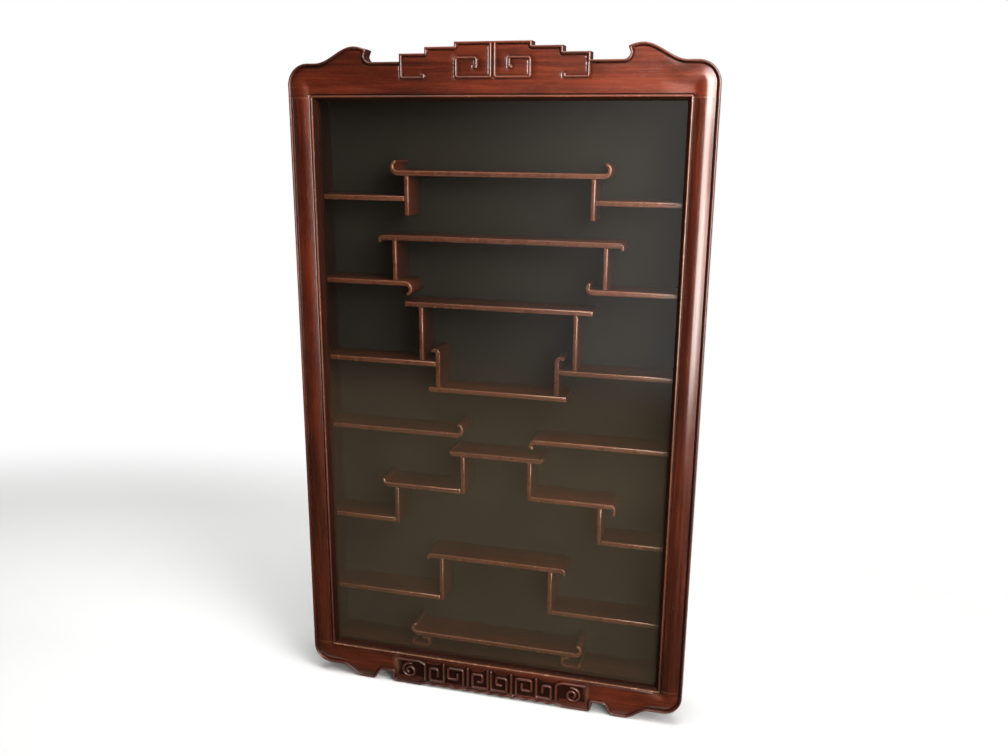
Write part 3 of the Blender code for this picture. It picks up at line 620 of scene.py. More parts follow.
def mouldedFront(spots, rimPath, bead, raised=(), chips=(), ground=None):
    # depth of the front at each spot, its wear with painted highlight, its grime with painted shade, and
    # its share of sunk ground
    rim, inner = distanceTo(spots, rimPath), distanceTo(spots, openingPath)
    rimHalf, innerHalf = moulding["rimBead"] / 2, moulding["innerBead"] / 2
    rise = np.maximum(beadRise(rim - rimHalf, rimHalf, moulding["rimRise"]),
                      beadRise(inner - innerHalf, innerHalf, moulding["innerRise"]))
    # painted highlight along the bead tops, with their wear
    wearAndHighlightRidge = np.maximum(moulding["rimWearAndHighlight"] * beadRise(rim - rimHalf, rimHalf, 1) ** 3,
                       bead["wearAndHighlight"] * beadRise(inner - innerHalf, innerHalf, 1) ** 2)
    pastCorner = np.clip((np.abs(spots[:, 0]) - halfOpening) / moulding["cornerRun"] + 1, 0, 1)
    innerShare = bead["groove"] + (1 - bead["groove"]) * pastCorner
    sink = np.maximum(grooveSink(rim - moulding["rimBead"]),
                      innerShare * grooveSink(inner - moulding["innerBead"]))
    # painted shade in the grooves, with their grime
    grimeAndShadeAmount = np.clip(sink / moulding["sink"], 0, 1)
    for path, width, lift, wornAndHighlight in raised:
        reach = distanceTo(spots, path)
        rise = np.maximum(rise, beadRise(reach, width / 2, lift))
        wearAndHighlightRidge = np.maximum(wearAndHighlightRidge, wornAndHighlight * beadRise(reach, width / 2, 1) ** 3)
        beside = grooveSink((reach - width / 2) * moulding["besideTight"])
        sink = np.maximum(sink, moulding["besideSink"] * beside)
        grimeAndShadeAmount = np.maximum(grimeAndShadeAmount, moulding["besideShade"] * beside / moulding["sink"])
    for centre, reach, amount in chips:
        near = np.linalg.norm((spots - np.array(centre)) / np.array(reach), axis=1)
        wearAndHighlightRidge = np.maximum(wearAndHighlightRidge, amount * np.clip(moulding["chipReach"] - near, 0, 1))
    edge = np.minimum(rim - moulding["rimBead"], inner - moulding["innerBead"])
    # painted shade towards the beads, which leaves the crown's middle lighter
    grimeAndShadeAmount = np.maximum(grimeAndShadeAmount, moulding["edgeShade"] * np.clip(1 - edge / moulding["edgeReach"], 0, 1) ** 2)
    sink, grimeAndShadeAmount = np.where(rise > 0, 0, sink), np.where(rise > 0, 0, grimeAndShadeAmount)
    # painted shade along the rim bead, with its grime
    grimeAndShadeAmount = np.where(rim < moulding["rimBead"], np.maximum(grimeAndShadeAmount, moulding["rimGrimeAndShade"]), grimeAndShadeAmount)
    sunk = np.zeros(len(spots))
    if ground:
        inset = np.minimum(ground["reach"] - np.abs(spots[:, 0]),
                           np.minimum(spots[:, 1] - ground["low"], ground["high"] - spots[:, 1]))
        within = np.clip(inset / ground["slope"], 0, 1)
        sunk = np.where(rise > 0, 0, within)
        # painted shade on the sunk ground
        sink, grimeAndShadeAmount = np.maximum(sink, ground["deep"] * sunk), np.maximum(grimeAndShadeAmount, ground["grimeAndShade"] * within)
    bodyStart = moulding["rimBead"] + moulding["groove"]
    bodyEnd = halfWidth - halfOpening - moulding["innerBead"] - moulding["groove"]
    body = np.sin(math.pi * np.clip((rim - bodyStart) / (bodyEnd - bodyStart), 0, 1))
    fadeStart, fadeEnd = moulding["crownFade"]
    fade = np.clip((np.abs(spots[:, 0]) - fadeStart) / (fadeEnd - fadeStart), 0, 1)
    fade = fade * fade * (3 - 2 * fade)
    drop = moulding["crownDrop"] * np.clip(edge / moulding["dropReach"], 0, 1)
    depth = moulding["field"] + (drop - moulding["crown"] * body) * fade - rise + sink
    lip = np.clip(-spots[:, 1] / doorShape["lipWidth"], 0, 1)
    lipFall = doorShape["lipEdge"] - doorShape["lipTop"]
    lipDepth = doorShape["lipTop"] + lipFall * lip ** moulding["lipBend"]
    onLip = (spots[:, 1] < hair) & (np.abs(spots[:, 0]) < halfOpening + hair)
    depth = np.where(onLip, lipDepth, depth)
    # painted shade on the lip, lifted near the bead by painted highlight
    wearAndHighlight = np.where(onLip, bead["lipHighlight"] * (1 - lip) ** 2, wearAndHighlightRidge)
    lipShade = moulding["lipShade"] * (1 - bead["lipHighlight"]) * np.clip(lip * moulding["lipShadeRise"], 0, 1)
    return depth, wearAndHighlight, np.where(onLip, lipShade, grimeAndShadeAmount), sunk


def beadSteps(width):
    return [width / 2 * (1 - math.cos(math.pi * index / 6)) for index in range(1, 7)]


def grooveSteps(start):
    return [start + moulding["groove"] * share for share in (0.25, 0.5, 0.75, 1.0)]


railMesh = {  # how closely the rails are drawn
    "rim": 0.0024,
    "opening": 0.0030,
    "raised": 0.0022,
    "seam": 0.0005,
    "rebate": 0.0004,
    "lip": 0.0120,
    "crease": 0.0060,
    "overrun": 0.0500,  # the rim's path runs on past the rail's ends
    "pastGroove": 0.0015,
    "besideRows": (0.0005, 0.0011, 0.0021),  # rows beside a raised line,
    "fine": 0.0006,  # and the close grid on and around it
    "fineReach": 0.0018,
    "grids": ((-0.2880, -0.2060, 0.0026), (-0.2040, 0.2041, 0.0060), (0.2060, 0.2881, 0.0026)),
    "gridRise": (0.0015, 0.0700),
    "clearRim": 0.0090,  # the wide grids stay clear of what has rows of its own
    "clearOpening": 0.0065,
    "clearRaised": 0.0035,
    "apart": 0.00018,  # least distance between points, also in the close grid,
    "fineApart": 0.00055,
    "inset": 0.00015,  # and from the outline
    "merge": 1e-8,
}


def makeRail(name, node, rimHalf, edge, outward, cutReach, bead, raised, chips=(), ground=None):
    shape, gaps = doorShape, railMesh
    lipWidth, rebate = shape["lipWidth"], shape["rebate"]
    otherHalf = [(-across, out) for across, out in reversed(rimHalf) if across > hair]
    rim = divided(rimHalf + otherHalf, gaps["rim"])
    rimPath = [(halfWidth, -gaps["overrun"])] + rim + [(-halfWidth, -gaps["overrun"])]
    lipCorner = halfOpening - lipWidth
    rebateRun = divided([(halfOpening, 0), (halfOpening + rebate, 0)], gaps["rebate"])
    seam = divided([(halfOpening + rebate, 0), (halfWidth, 0)], gaps["seam"])[1:-1]
    lipRun = divided([(-lipCorner, -lipWidth), (lipCorner, -lipWidth)], gaps["lip"])
    loop = [*lipRun, *rebateRun, *seam, *rim,
            *[(-across, 0) for across, _ in reversed(seam)],
            *[(-across, 0) for across, _ in reversed(rebateRun)]]
    crease = divided([(-halfOpening, 0), (halfOpening, 0)], gaps["crease"])[1:-1]

    rimBead, innerBead, groove = moulding["rimBead"], moulding["innerBead"], moulding["groove"]
    rimSteps = beadSteps(rimBead) + grooveSteps(rimBead) + [rimBead + groove + gaps["pastGroove"]]
    innerSteps = beadSteps(innerBead) + grooveSteps(innerBead)
    seeds = [rowsBeside(rimPath, rimSteps, gaps["rim"], (1,)),
             rowsBeside(openingPath, innerSteps, gaps["opening"], (-1,))]
    fineFill = []
    for path, width, *_ in raised:
        steps = [0.0] + [width / 2 * math.sin(math.pi * index / 8) for index in range(1, 5)]
        steps += [width / 2 + row for row in gaps["besideRows"]]
        seeds.append(rowsBeside(path, steps, gaps["raised"], (1, -1), True))
        low, high = np.min(path, axis=0) - width, np.max(path, axis=0) + width
        fine = np.array([(x, v) for x in np.arange(low[0], high[0], gaps["fine"])
                         for v in np.arange(low[1], high[1], gaps["fine"])])
        fineFill.append(fine[distanceTo(fine, path) < width / 2 + gaps["fineReach"]])
    seeds += [np.array(divided([(row - halfOpening, -row), (halfOpening - row, -row)], gaps["lip"]))
              for row in moulding["lipRows"]]
    for (x, v), (wide, tall), _ in chips:
        seeds.append(np.array([(x + wide * i / 5, v + tall * j / 8)
                               for i in range(-7, 8) for j in range(-11, 12)]))
    grid = []
    for start, stop, gap in gaps["grids"]:
        grid += [(x, v) for x in np.arange(start, stop, gap) for v in np.arange(*gaps["gridRise"], gap)]
    grid = np.array(grid)
    clear = distanceTo(grid, rimPath) > gaps["clearRim"]
    clear &= distanceTo(grid, openingPath) > gaps["clearOpening"]
    for path, width, *_ in raised:
        clear &= distanceTo(grid, path) > width / 2 + gaps["clearRaised"]
    seeds.append(grid[clear])

    spots = list(loop) + crease
    for groups, spacing in ((seeds, gaps["apart"]), (fineFill, gaps["fineApart"])):
        group = np.concatenate(groups)
        group = group[insideLoop(group, loop)]
        group = group[distanceTo(group, loop + loop[:1]) > gaps["inset"]]
        spots += spaced(group, spots, spacing)
    row = [spots.index(loop[len(lipRun)])] + list(range(len(loop), len(loop) + len(crease)))[::-1]
    row.append(len(loop) - 1)
    creaseEdges = list(zip(row[:-1], row[1:]))
    flat, _, faces, sources, _, _ = delaunay_2d_cdt([Vector(spot) for spot in spots], creaseEdges,
                                                    [list(range(len(loop)))], 1, gaps["merge"])
    flatSpots = np.array([tuple(spot) for spot in flat])
    depth, wearAndHighlight, grimeAndShade, sunk = mouldedFront(flatSpots, rimPath, bead, raised, chips, ground)

    builder = bmesh.new()
    wearAndHighlightLayer, grimeAndShadeLayer = wearLightAndShadeLayers(builder)

    def point(x, v, deep):
        return builder.verts.new((x, shape["front"] + deep, edge + outward * v))

    front = []
    for (x, v), deep, wornAndHighlight, grimeAndShadeHere in zip(flatSpots, depth, wearAndHighlight, grimeAndShade):
        vertex = point(x, v, deep)
        vertex[wearAndHighlightLayer], vertex[grimeAndShadeLayer] = wornAndHighlight, grimeAndShadeHere
        front.append(vertex)
    for face in faces:
        made = builder.faces.new([front[index] for index in face])
        onLip = max(flatSpots[index][1] for index in face) < hair
        inGround = min(sunk[index] for index in face) > 0.5
        # the lip and the sunk ground take the darker lip wood: painted shade
        made.material_index = int(onLip or inGround)

    # sides back to the rebate, the rebate's own faces, then the sides and back of the thick part
    found = {source: index for index, merged in enumerate(sources) for source in merged}
    rimVerts = [front[found[index]] for index in range(len(loop))]
    bmesh.ops.delete(builder, geom=[v for v in builder.verts if not v.link_faces], context="VERTS")
    middle = [point(x, v, shape["lipBack"]) for x, v in loop]
    for index, made in enumerate(bridge(builder, rimVerts, middle)):
        following = loop[(index + 1) % len(loop)]
        inCut = max(abs(loop[index][0]), abs(following[0])) < cutReach  # sawn edges take the darker lip wood: painted shade
        made.material_index = int(index < len(lipRun) or inCut)
    rebateSpots = [(round(x, 6), round(v, 6)) for x, v in loop]
    right = rebateSpots.index((round(halfOpening + rebate, 6), 0))
    left = rebateSpots.index((round(-halfOpening - rebate, 6), 0))
    corners = [point(halfOpening + rebate, rebate, shape["lipBack"]),
               point(-halfOpening - rebate, rebate, shape["lipBack"])]
    builder.faces.new([*middle[left:], *middle[:right + 1], *corners])
    thickRing = [*middle[right:left + 1], corners[1], corners[0]]
    backRing = [builder.verts.new((v.co.x, shape["front"] + shape["thickness"], v.co.z)) for v in thickRing]
    # the thick part's sawn edges take the same painted shade
    for made in bridge(builder, thickRing, backRing):
        made.material_index = int(max(abs(v.co.x) for v in made.verts) < cutReach)
    builder.faces.new(backRing)
    finishPiece(builder, name, "door", [railWood, railLipShadeWood], node)


crestShape = {
    "shoulderRise": 0.0445,
    "cornerRadius": 0.0290,
    "shoulder": 0.2494,
    "lobe": (0.19285, 0.0655),
    "tip": (0.17458, 0.0610),
    "notch": (0.17748, 0.0455),
    "notchRadius": 0.0080,
    "cutMargin": 0.0005,  # the sawn edge counts as cut this far past the notch
    "steps": [(0.12789, 0.0555), (0.09251, 0.0634), (0.05191, 0.0694)],
    "fretWidth": 0.0032,
    "fretRise": 0.0017,
    # wear and painted glints on the frets' tops
    "fretWearAndHighlight": 0.15,
    "bead": {"wearAndHighlight": 0.40, "lipHighlight": 0.0, "groove": 1.0},  # the bead over the glass gets the least painted highlight and wear
    "fretCorner": 0.0028,
    "spiral": [(0.002755, 0.0672), (0.002755, 0.025), (0.04959, 0.025), (0.04959, 0.049), (0.02204, 0.049),
               (0.02204, 0.0372)],
    "angle": [(0.12569, 0.0533), (0.12569, 0.025), (0.09450, 0.025)],
    "bulbs": [[(0.0228, 0.0376), (0.0242, 0.0376)], [(0.09450, 0.0262), (0.09450, 0.0276)]],
    "bulbWidth": 0.0046,
}


def roundedPath(path, radius):
    made = [path[0]]
    for before, corner, after in zip(path[:-2], path[1:-1], path[2:]):
        into, onward = math.dist(before, corner), math.dist(corner, after)
        start = [c + (b - c) * min(radius, into * 0.48) / into for b, c in zip(before, corner)]
        stop = [c + (a - c) * min(radius, onward * 0.48) / onward for a, c in zip(after, corner)]
        for share in (0, 0.25, 0.5, 0.75, 1):
            made.append(tuple((1 - share) ** 2 * s + 2 * share * (1 - share) * c + share ** 2 * e
                              for s, c, e in zip(start, corner, stop)))
    return made + [path[-1]]


def makeCrest():
    shape = crestShape
    radius, rise = shape["cornerRadius"], shape["shoulderRise"]
    lobe, tip, notch, hollow = shape["lobe"], shape["tip"], shape["notch"], shape["notchRadius"]
    rimHalf = [(halfWidth, 0.0)] + arc((halfWidth - radius, rise - radius), radius, 0, 90)
    rimHalf += ease((shape["shoulder"], rise), lobe)
    rimHalf += [(lobe[0] + (tip[0] - lobe[0]) * share, lobe[1] + (tip[1] - lobe[1]) * share ** 2)
                for share in (0.25, 0.5, 0.75, 1.0)]
    rimHalf += arc((notch[0] - hollow, notch[1] + hollow), hollow, 0, -90)
    level = notch[1]
    for across, top in shape["steps"]:
        rimHalf += [(across, level), (across, top)]
        level = top
    rimHalf += [(0.0, level)]
    lines = [(roundedPath(path, shape["fretCorner"]), shape["fretWidth"])
             for path in (shape["spiral"], shape["angle"])]
    lines += [(path, shape["bulbWidth"]) for path in shape["bulbs"]]
    raised = [(half, width, shape["fretRise"], shape["fretWearAndHighlight"])
              for path, width in lines for half in bothHalves(path)]
    makeRail("crest_rail_carved", "crest_rail", rimHalf, doorShape["openingTop"], 1,
             notch[0] + shape["cutMargin"], shape["bead"], raised)


apronShape = {
    "shoulderDrop": 0.0355,
    "cornerRadius": 0.0280,
    "shoulder": 0.24302,
    "lobe": (0.18995, 0.20735),
    "lobeDrop": 0.0520,
    "notch": (0.17487, 0.0357),
    "block": (0.15747, 0.0516),
    "blockRadius": 0.0060,
    "middle": (0.11020, 0.0500),
    "waves": (6, 0.0014, 12),  # scallops under half of the block, their depth, points in each
    "carvedWidth": 0.0034,
    "carvedRise": 0.0019,
    # wear and painted glints on the raised lines
    "carvedWearAndHighlight": 0.35,
    "carvedCorner": 0.0030,
    "bead": {"wearAndHighlight": 1.60, "lipHighlight": 0.15, "groove": 0.35},  # the sill's bead under the glass gets the strongest painted highlight, with wear
    # sunk between the raised lines, with painted shade there
    "ground": {"reach": 0.1500, "low": 0.0075, "high": 0.0440, "slope": 0.0020,
               "deep": 0.0010, "grimeAndShade": 0.35},
    # centre, reach and strength of the worn patches at the ends of the block
    "chips": [((0.1500, 0.0200), (0.0045, 0.0130), 0.5), ((-0.1500, 0.0180), (0.0060, 0.0150), 0.5)],
    # right half of the key pattern, mirrored to the left
    "keys": [
        [(0.0026, 0.0105), (0.0026, 0.0410), (0.0270, 0.0410), (0.0270, 0.0185), (0.0110, 0.0185),
         (0.0110, 0.0310), (0.0185, 0.0310)],
        [(0.0345, 0.0105), (0.0345, 0.0410)],
        [(0.0420, 0.0410), (0.0420, 0.0150), (0.0660, 0.0150), (0.0660, 0.0330), (0.0510, 0.0330),
         (0.0510, 0.0235)],
        [(0.0735, 0.0105), (0.0735, 0.0410), (0.0960, 0.0410), (0.0960, 0.0200), (0.0830, 0.0200),
         (0.0830, 0.0315)],
        [(0.1040, 0.0410), (0.1040, 0.0150), (0.1130, 0.0110), (0.1470, 0.0110)],
    ],
    "curl": {"centre": (0.1290, 0.0285), "wide": 0.0125, "tight": 0.0035,
             "turns": (-100, 420), "points": 40},
}


def makeApron():
    shape = apronShape
    radius, drop = shape["cornerRadius"], shape["shoulderDrop"]
    block, middle, corner = shape["block"], shape["middle"], shape["blockRadius"]
    lobeInner, lobeOuter = shape["lobe"]
    rimHalf = [(halfWidth, 0.0)] + arc((halfWidth - radius, drop - radius), radius, 0, 90)
    rimHalf += ease((shape["shoulder"], drop), (lobeOuter, shape["lobeDrop"]))
    rimHalf += ease((lobeInner, shape["lobeDrop"]), shape["notch"])
    rimHalf += [(block[0], shape["notch"][1])]
    rimHalf += arc((block[0] - corner, block[1] - corner), corner, 0, 90)
    rimHalf += [(middle[0], block[1])]
    waves, sweep, points = shape["waves"]
    for index in range(points * waves + 1):
        turn = math.tau * index / points
        rimHalf.append((middle[0] * (1 - index / (points * waves)),
                        middle[1] - sweep * (1 - math.cos(turn)) / 2))
    spiral = shape["curl"]
    (x, v), (start, stop) = spiral["centre"], spiral["turns"]
    curl = []
    for index in range(spiral["points"] + 1):
        share = index / spiral["points"]
        angle = math.radians(start + (stop - start) * share)
        reach = spiral["wide"] + (spiral["tight"] - spiral["wide"]) * share
        curl.append((x + reach * math.cos(angle), v + reach * math.sin(angle)))
    lines = [roundedPath(key, shape["carvedCorner"]) for key in shape["keys"]] + [curl]
    raised = [(half, shape["carvedWidth"], shape["carvedRise"], shape["carvedWearAndHighlight"])
              for path in lines for half in bothHalves(path)]
    makeRail("apron_rail_carved", "apron_rail", rimHalf, doorShape["openingBottom"], -1, lobeInner,
             shape["bead"], raised, shape["chips"], shape["ground"])


makeCrest()
print("crest carved")
makeApron()
print("apron carved")


stileShape = {
    "bead": {"wearAndHighlight": 0.85, "lipHighlight": 0.0, "groove": 1.0},
    "wearAndHighlightLow": 0.25,  # share of the bead's wear and painted highlight that is left at the lower end, and the level from which it is all there
    "wearAndHighlightLevel": 0.55,  # and the level from which it is all there
    "seamRub": 0.90,  # bare wood shows along the joints with the rails
    "seamReach": 0.0014,  # as a share of the stile's length
    "columns": 71,
    "rows": 31,
}


def makeStile(name, node, side):
    shape, look = doorShape, stileShape
    width = halfWidth - halfOpening
    steps = np.linspace(0, width, look["columns"])
    spots = np.array([(halfOpening + step, 0.0) for step in steps])
    rimPath = [(halfWidth, -pathEnd), (halfWidth, pathEnd)]
    depth, wearAndHighlight, grimeAndShade, _ = mouldedFront(spots, rimPath, look["bead"])
    lip = np.array([(0.0, -row) for row in (shape["lipWidth"], *reversed(moulding["lipRows"]))])
    lipDepth, lipHighlight, lipShade, _ = mouldedFront(lip, rimPath, look["bead"])
    edgeOfLip = len(lip)
    profile = list(zip(lip[:, 1], lipDepth, lipHighlight, lipShade)) + list(zip(steps, depth, wearAndHighlight, grimeAndShade))
    profile += [(width, shape["thickness"], 0, 0), (shape["rebate"], shape["thickness"], 0, 0),
                (shape["rebate"], shape["lipBack"], 0, 0), (0, shape["lipBack"], 0, 0),
                (-shape["lipWidth"], shape["lipBack"], 0, 0)]
    builder = bmesh.new()
    wearAndHighlightLayer, grimeAndShadeLayer = wearLightAndShadeLayers(builder)
    reach, wearAndHighlightLow = look["seamReach"], look["wearAndHighlightLow"]
    levels = [0, reach, *np.linspace(0, 1, look["rows"])[1:-1], 1 - reach, 1]
    rings = []
    for level in levels:
        wearAndHighlightShare = min(1, wearAndHighlightLow + (1 - wearAndHighlightLow) * level / look["wearAndHighlightLevel"])
        ring = []
        for across, deep, wornAndHighlight, grimeAndShadeHere in profile:
            mitre = shape["seam"] + max(0, -across)  # the lip is cut at 45 degrees
            low, high = shape["openingBottom"] + mitre, shape["openingTop"] - mitre
            vertex = builder.verts.new((side * (halfOpening + across), shape["front"] + deep,
                                        low + (high - low) * level))
            atSeam = level in (0, 1) and 0 < across < width
            vertex[wearAndHighlightLayer] = max(wornAndHighlight * wearAndHighlightShare, look["seamRub"] * atSeam)
            vertex[grimeAndShadeLayer] = grimeAndShadeHere
            ring.append(vertex)
        rings.append(ring)
    count = len(profile)
    for lower, upper in zip(rings[:-1], rings[1:]):
        for index, made in enumerate(bridge(builder, lower, upper)):
            # the lip faces take the darker lip wood: painted shade
            made.material_index = int(index < edgeOfLip or index == count - 1)
    for ring in (rings[0], rings[-1]):
        builder.faces.new(ring[edgeOfLip:count - 1])
        builder.faces.new([*ring[:edgeOfLip + 1], ring[count - 2], ring[count - 1]])
    finishPiece(builder, name, "door", [stileWood, stileLipShadeWood], node)


makeStile("left_stile_moulded", "left_stile", -1)
makeStile("right_stile_moulded", "right_stile", 1)
print("stiles moulded")


# Shelves, uprights, case and strips keep the shapes of their nodes, with softened edges

softEdges = {
    "shelf": (0.0017, 4, 1.00, 0.75, True),  # width and steps of the rounding, its wear with painted highlight, how much painted shade lies towards the back, and whether only the front edges are rounded
    "upright": (0.0024, 5, 0.5, 1.00, True),  # how much grime lies towards the back,
    "scroll_foot": (0.0010, 3, 0.6, 0.75, True),  # and whether only the front edges are rounded
    "board": (0.0008, 2, 0.25, 0.0, False),
    "strip": (0.0010, 2, 0.0, 0.0, False),
    "plate": (0.0005, 2, 0.0, 0.0, False),
}
softEdgeWearAndShade = {
    "flat": math.radians(1),  # faces that meet at less than this are joined first
    "edge": math.radians(40),  # edges sharper than this are rounded
    "frontReach": 1e-5,
    "facingFront": -0.9,
    "facingSide": 0.7,
    "beside": 0.35,  # share of the painted highlight with wear, and of the painted shade, where a face meets the rounding
    "backShadeStart": 2,  # painted shade starts this many widths behind the front
}


def softenedCopy(node, body, material, kind, inside=None):
    width, steps, wornAndHighlighted, backShade, frontOnly = softEdges[kind]
    builder = bmesh.new()
    builder.from_mesh(frame["nodes"][node].data)
    bmesh.ops.remove_doubles(builder, verts=builder.verts, dist=hair)
    bmesh.ops.dissolve_limit(builder, angle_limit=softEdgeWearAndShade["flat"], verts=builder.verts,
                             edges=builder.edges)
    wearAndHighlightLayer, grimeAndShadeLayer = wearLightAndShadeLayers(builder)
    foremost = min(v.co.y for v in builder.verts)
    frontEnd = foremost + softEdgeWearAndShade["frontReach"]
    edges = [e for e in builder.edges if e.calc_face_angle(0) > softEdgeWearAndShade["edge"]
             and (not frontOnly or all(v.co.y < frontEnd for v in e.verts))]
    made = bmesh.ops.bevel(builder, geom=edges, offset=width, segments=steps, profile=0.5, affect="EDGES",
                           clamp_overlap=True)
    rounding = set(made["faces"])
    for vertex in made["verts"]:
        others = [face for face in vertex.link_faces if face not in rounding]
        if not others:
            vertex[wearAndHighlightLayer] = wornAndHighlighted
        elif all(face.normal.y < softEdgeWearAndShade["facingFront"] for face in others):
            vertex[wearAndHighlightLayer] = wornAndHighlighted * softEdgeWearAndShade["beside"]  # the front face keeps a little of it
        # other faces beside the rounding take a little painted shade
        else:
            vertex[grimeAndShadeLayer] = backShade * softEdgeWearAndShade["beside"]
    # faces behind the front take painted shade
    for vertex in builder.verts:
        if vertex.co.y > foremost + softEdgeWearAndShade["backShadeStart"] * width:
            vertex[grimeAndShadeLayer] = backShade
    builder.normal_update()
    # faces that look into the case take the darker inside wood: painted shade
    for face in builder.faces if inside else ():  # the face that looks into the case
        aside = face.normal.x
        looksIn = aside * face.calc_center_median().x < 0
        face.material_index = int(abs(aside) > softEdgeWearAndShade["facingSide"] and looksIn)
    materials = [material, inside] if inside else [material]
    finishPiece(builder, f"{node}_softened", body, materials, node)


for node in frame["nodes"]:
    if "_shelf_" in node:
        softenedCopy(node, "case", shelfWood, "shelf")
    elif "_upright_" in node:
        softenedCopy(node, "case", uprightWood, "upright")
    elif node.endswith("scroll_foot"):
        softenedCopy(node, "case", shelfWood, "scroll_foot")
    elif node.startswith("case_side"):
        softenedCopy(node, "case", sideWood, "board", sideInsideShadeWood)
    elif node in ("case_top", "case_bottom"):
        softenedCopy(node, "case", boardWood, "board")
    # the glazing strips take the darker lip wood: painted shade
    elif node in ("glazing_strip_left", "glazing_strip_right"):
        softenedCopy(node, "door", stileLipShadeWood, "strip")
    elif node in ("glazing_strip_top", "glazing_strip_bottom"):
        softenedCopy(node, "door", railLipShadeWood, "strip")
print("shelves, case and strips softened")


# Nodes that keep their own shape take a new finish

keptNodes = {"back_panel": backCloth, "glass_pane": clearPane, "catch_strike": agedSteel}
for hinge in ("upper_hinge", "lower_hinge"):
    for part in ("case_leaf", "door_leaf", "pin"):
        keptNodes[f"{hinge}_{part}"] = agedBrass
for node, material in keptNodes.items():
    kept = frame["nodes"][node]
    kept.data.materials.clear()
    kept.data.materials.append(material)

softenedCopy("hanging_plate", "case", agedBrass, "plate")
softenedCopy("catch_magnet", "case", agedSteel, "plate")


screwShape = {
    "radius": 0.0021,
    "dome": 0.0005,
    "slotWidth": 0.0005,
    "slotDepth": 0.0003,
    "slotLength": 0.0100,
    "sides": 20,
    # shares of the radius and of the dome's height, from the hidden foot to the flat top
    "rings": ((1.0, -0.80), (1.0, 0.20), (0.92, 0.62), (0.66, 0.88), (0.33, 1.0)),
}
screwPlaces = {
    "turns": {"upper_hinge": (12, 74, 140), "lower_hinge": (58, 101, 20)},
    "caseRises": (-0.017, 0.0, 0.017),
    "caseFace": -0.2798,
    "caseInset": 0.0065,
    "doorRises": (-0.018, 0.018),
    "doorInset": (0.0024, 0.0015),
    "doorTurn": 30,
    "doorSize": 0.75,
    "plate": ((0.008, 33), (0.024, 118)),  # rise and turn of each
    "plateSunk": 0.0003,
}


def screwMesh():
    shape = screwShape
    head = bmesh.new()
    rings = []
    turns = [math.tau * index / shape["sides"] for index in range(shape["sides"])]
    for share, height in shape["rings"]:
        reach = shape["radius"] * share
        level = height * shape["dome"]
        rings.append([head.verts.new((reach * math.cos(turn), reach * math.sin(turn), level))
                      for turn in turns])
    for lower, upper in zip(rings[:-1], rings[1:]):
        bridge(head, lower, upper)
    head.faces.new(rings[-1])
    head.faces.new(rings[0])
    bmesh.ops.recalc_face_normals(head, faces=head.faces)
    cutter = bmesh.new()
    bmesh.ops.create_cube(cutter, size=1)
    slotSize = (shape["slotLength"], shape["slotWidth"], 2 * shape["slotDepth"])
    bmesh.ops.scale(cutter, vec=slotSize, verts=cutter.verts)
    bmesh.ops.translate(cutter, vec=(0, 0, shape["dome"]), verts=cutter.verts)
    made = [placed(name, meshFrom(builder, name))
            for builder, name in ((head, "screwHead"), (cutter, "screwSlot"))]
    cut = made[0].modifiers.new("slot", "BOOLEAN")
    cut.object = made[1]
    cut.operation = "DIFFERENCE"
    bpy.context.view_layer.update()
    mesh = bpy.data.meshes.new_from_object(made[0].evaluated_get(bpy.context.evaluated_depsgraph_get()))
    for helper in made:
        bpy.data.objects.remove(helper, do_unlink=True)
    mesh.materials.clear()
    finishMesh(mesh, [agedBrass])
    return mesh


def placeScrew(name, mesh, place, facing, turn, body, size=1.0):
    screw = placed(name, mesh.copy())
    aim = Vector(facing).to_track_quat("Z", "Y").to_matrix().to_4x4()
    screw.data.transform(Matrix.Translation(place) @ aim @ Matrix.Rotation(math.radians(turn), 4, "Z")
                         @ Matrix.Scale(size, 4))
    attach(screw, body)


def makeScrews():
    mesh, spots = screwMesh(), screwPlaces
    for hinge, turns in spots["turns"].items():
        low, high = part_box(f"{hinge}_case_leaf")
        middle = (low[2] + high[2]) / 2
        for index, (rise, turn) in enumerate(zip(spots["caseRises"], turns)):
            place = (spots["caseFace"], high[1] - spots["caseInset"], middle + rise)
            placeScrew(f"{hinge}_case_screw_{index}", mesh, place, (-1, 0, 0), turn, "case")
        low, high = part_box(f"{hinge}_door_leaf")
        inward, forward = spots["doorInset"]
        for index, (rise, turn) in enumerate(zip(spots["doorRises"], turns)):
            place = (low[0] + inward, low[1] + forward, middle + rise)
            placeScrew(f"{hinge}_door_screw_{index}", mesh, place, (0, 1, 0), turn + spots["doorTurn"],
                       "door", spots["doorSize"])
    low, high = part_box("hanging_plate")
    for index, (rise, turn) in enumerate(spots["plate"]):
        place = (0, high[1] - spots["plateSunk"], low[2] + rise)
        placeScrew(f"hanging_plate_screw_{index}", mesh, place, (0, 1, 0), turn, "case")
    bpy.data.meshes.remove(mesh)


makeScrews()
print("hardware placed")


# Studio: a pale floor, four soft lamps, and two cards, upright and laid down, that show only in gloss

studio = {
    "floor": tone(250, 250, 249),
    "mottle": tone(226, 226, 224),
    "floorRadius": 6.0,
    "floorSides": 64,
    "floorFade": (0.80, 1.40),  # where the floor runs into the white background
    "floorShape": (0.75, 1.30, 1.0),  # the fade comes later sideways than in depth,
    "floorShift": (0.38, 0.13, 0.0),  # and sooner on the right
    "lamps": {  # place, aim, size, power, spread, and whether it shows in gloss
        "frontLight": ((0.60, -0.55, 1.12), (0.05, 0.0, 0.95), 0.5, 5.0, 100, True),
        "sideLight": ((2.30, -1.20, 1.70), (0.0, 0.0, 0.40), 1.5, 34.0, 180, False),
        "topLight": ((0.10, -0.15, 2.45), (0.0, -0.1, 0.0), 1.6, 47.0, 180, True),
        "lowLight": ((0.95, -1.10, 0.45), (0.15, 0.0, 0.18), 0.5, 1.6, 60, True),
    },
    "worldLevel": 0.22,
}
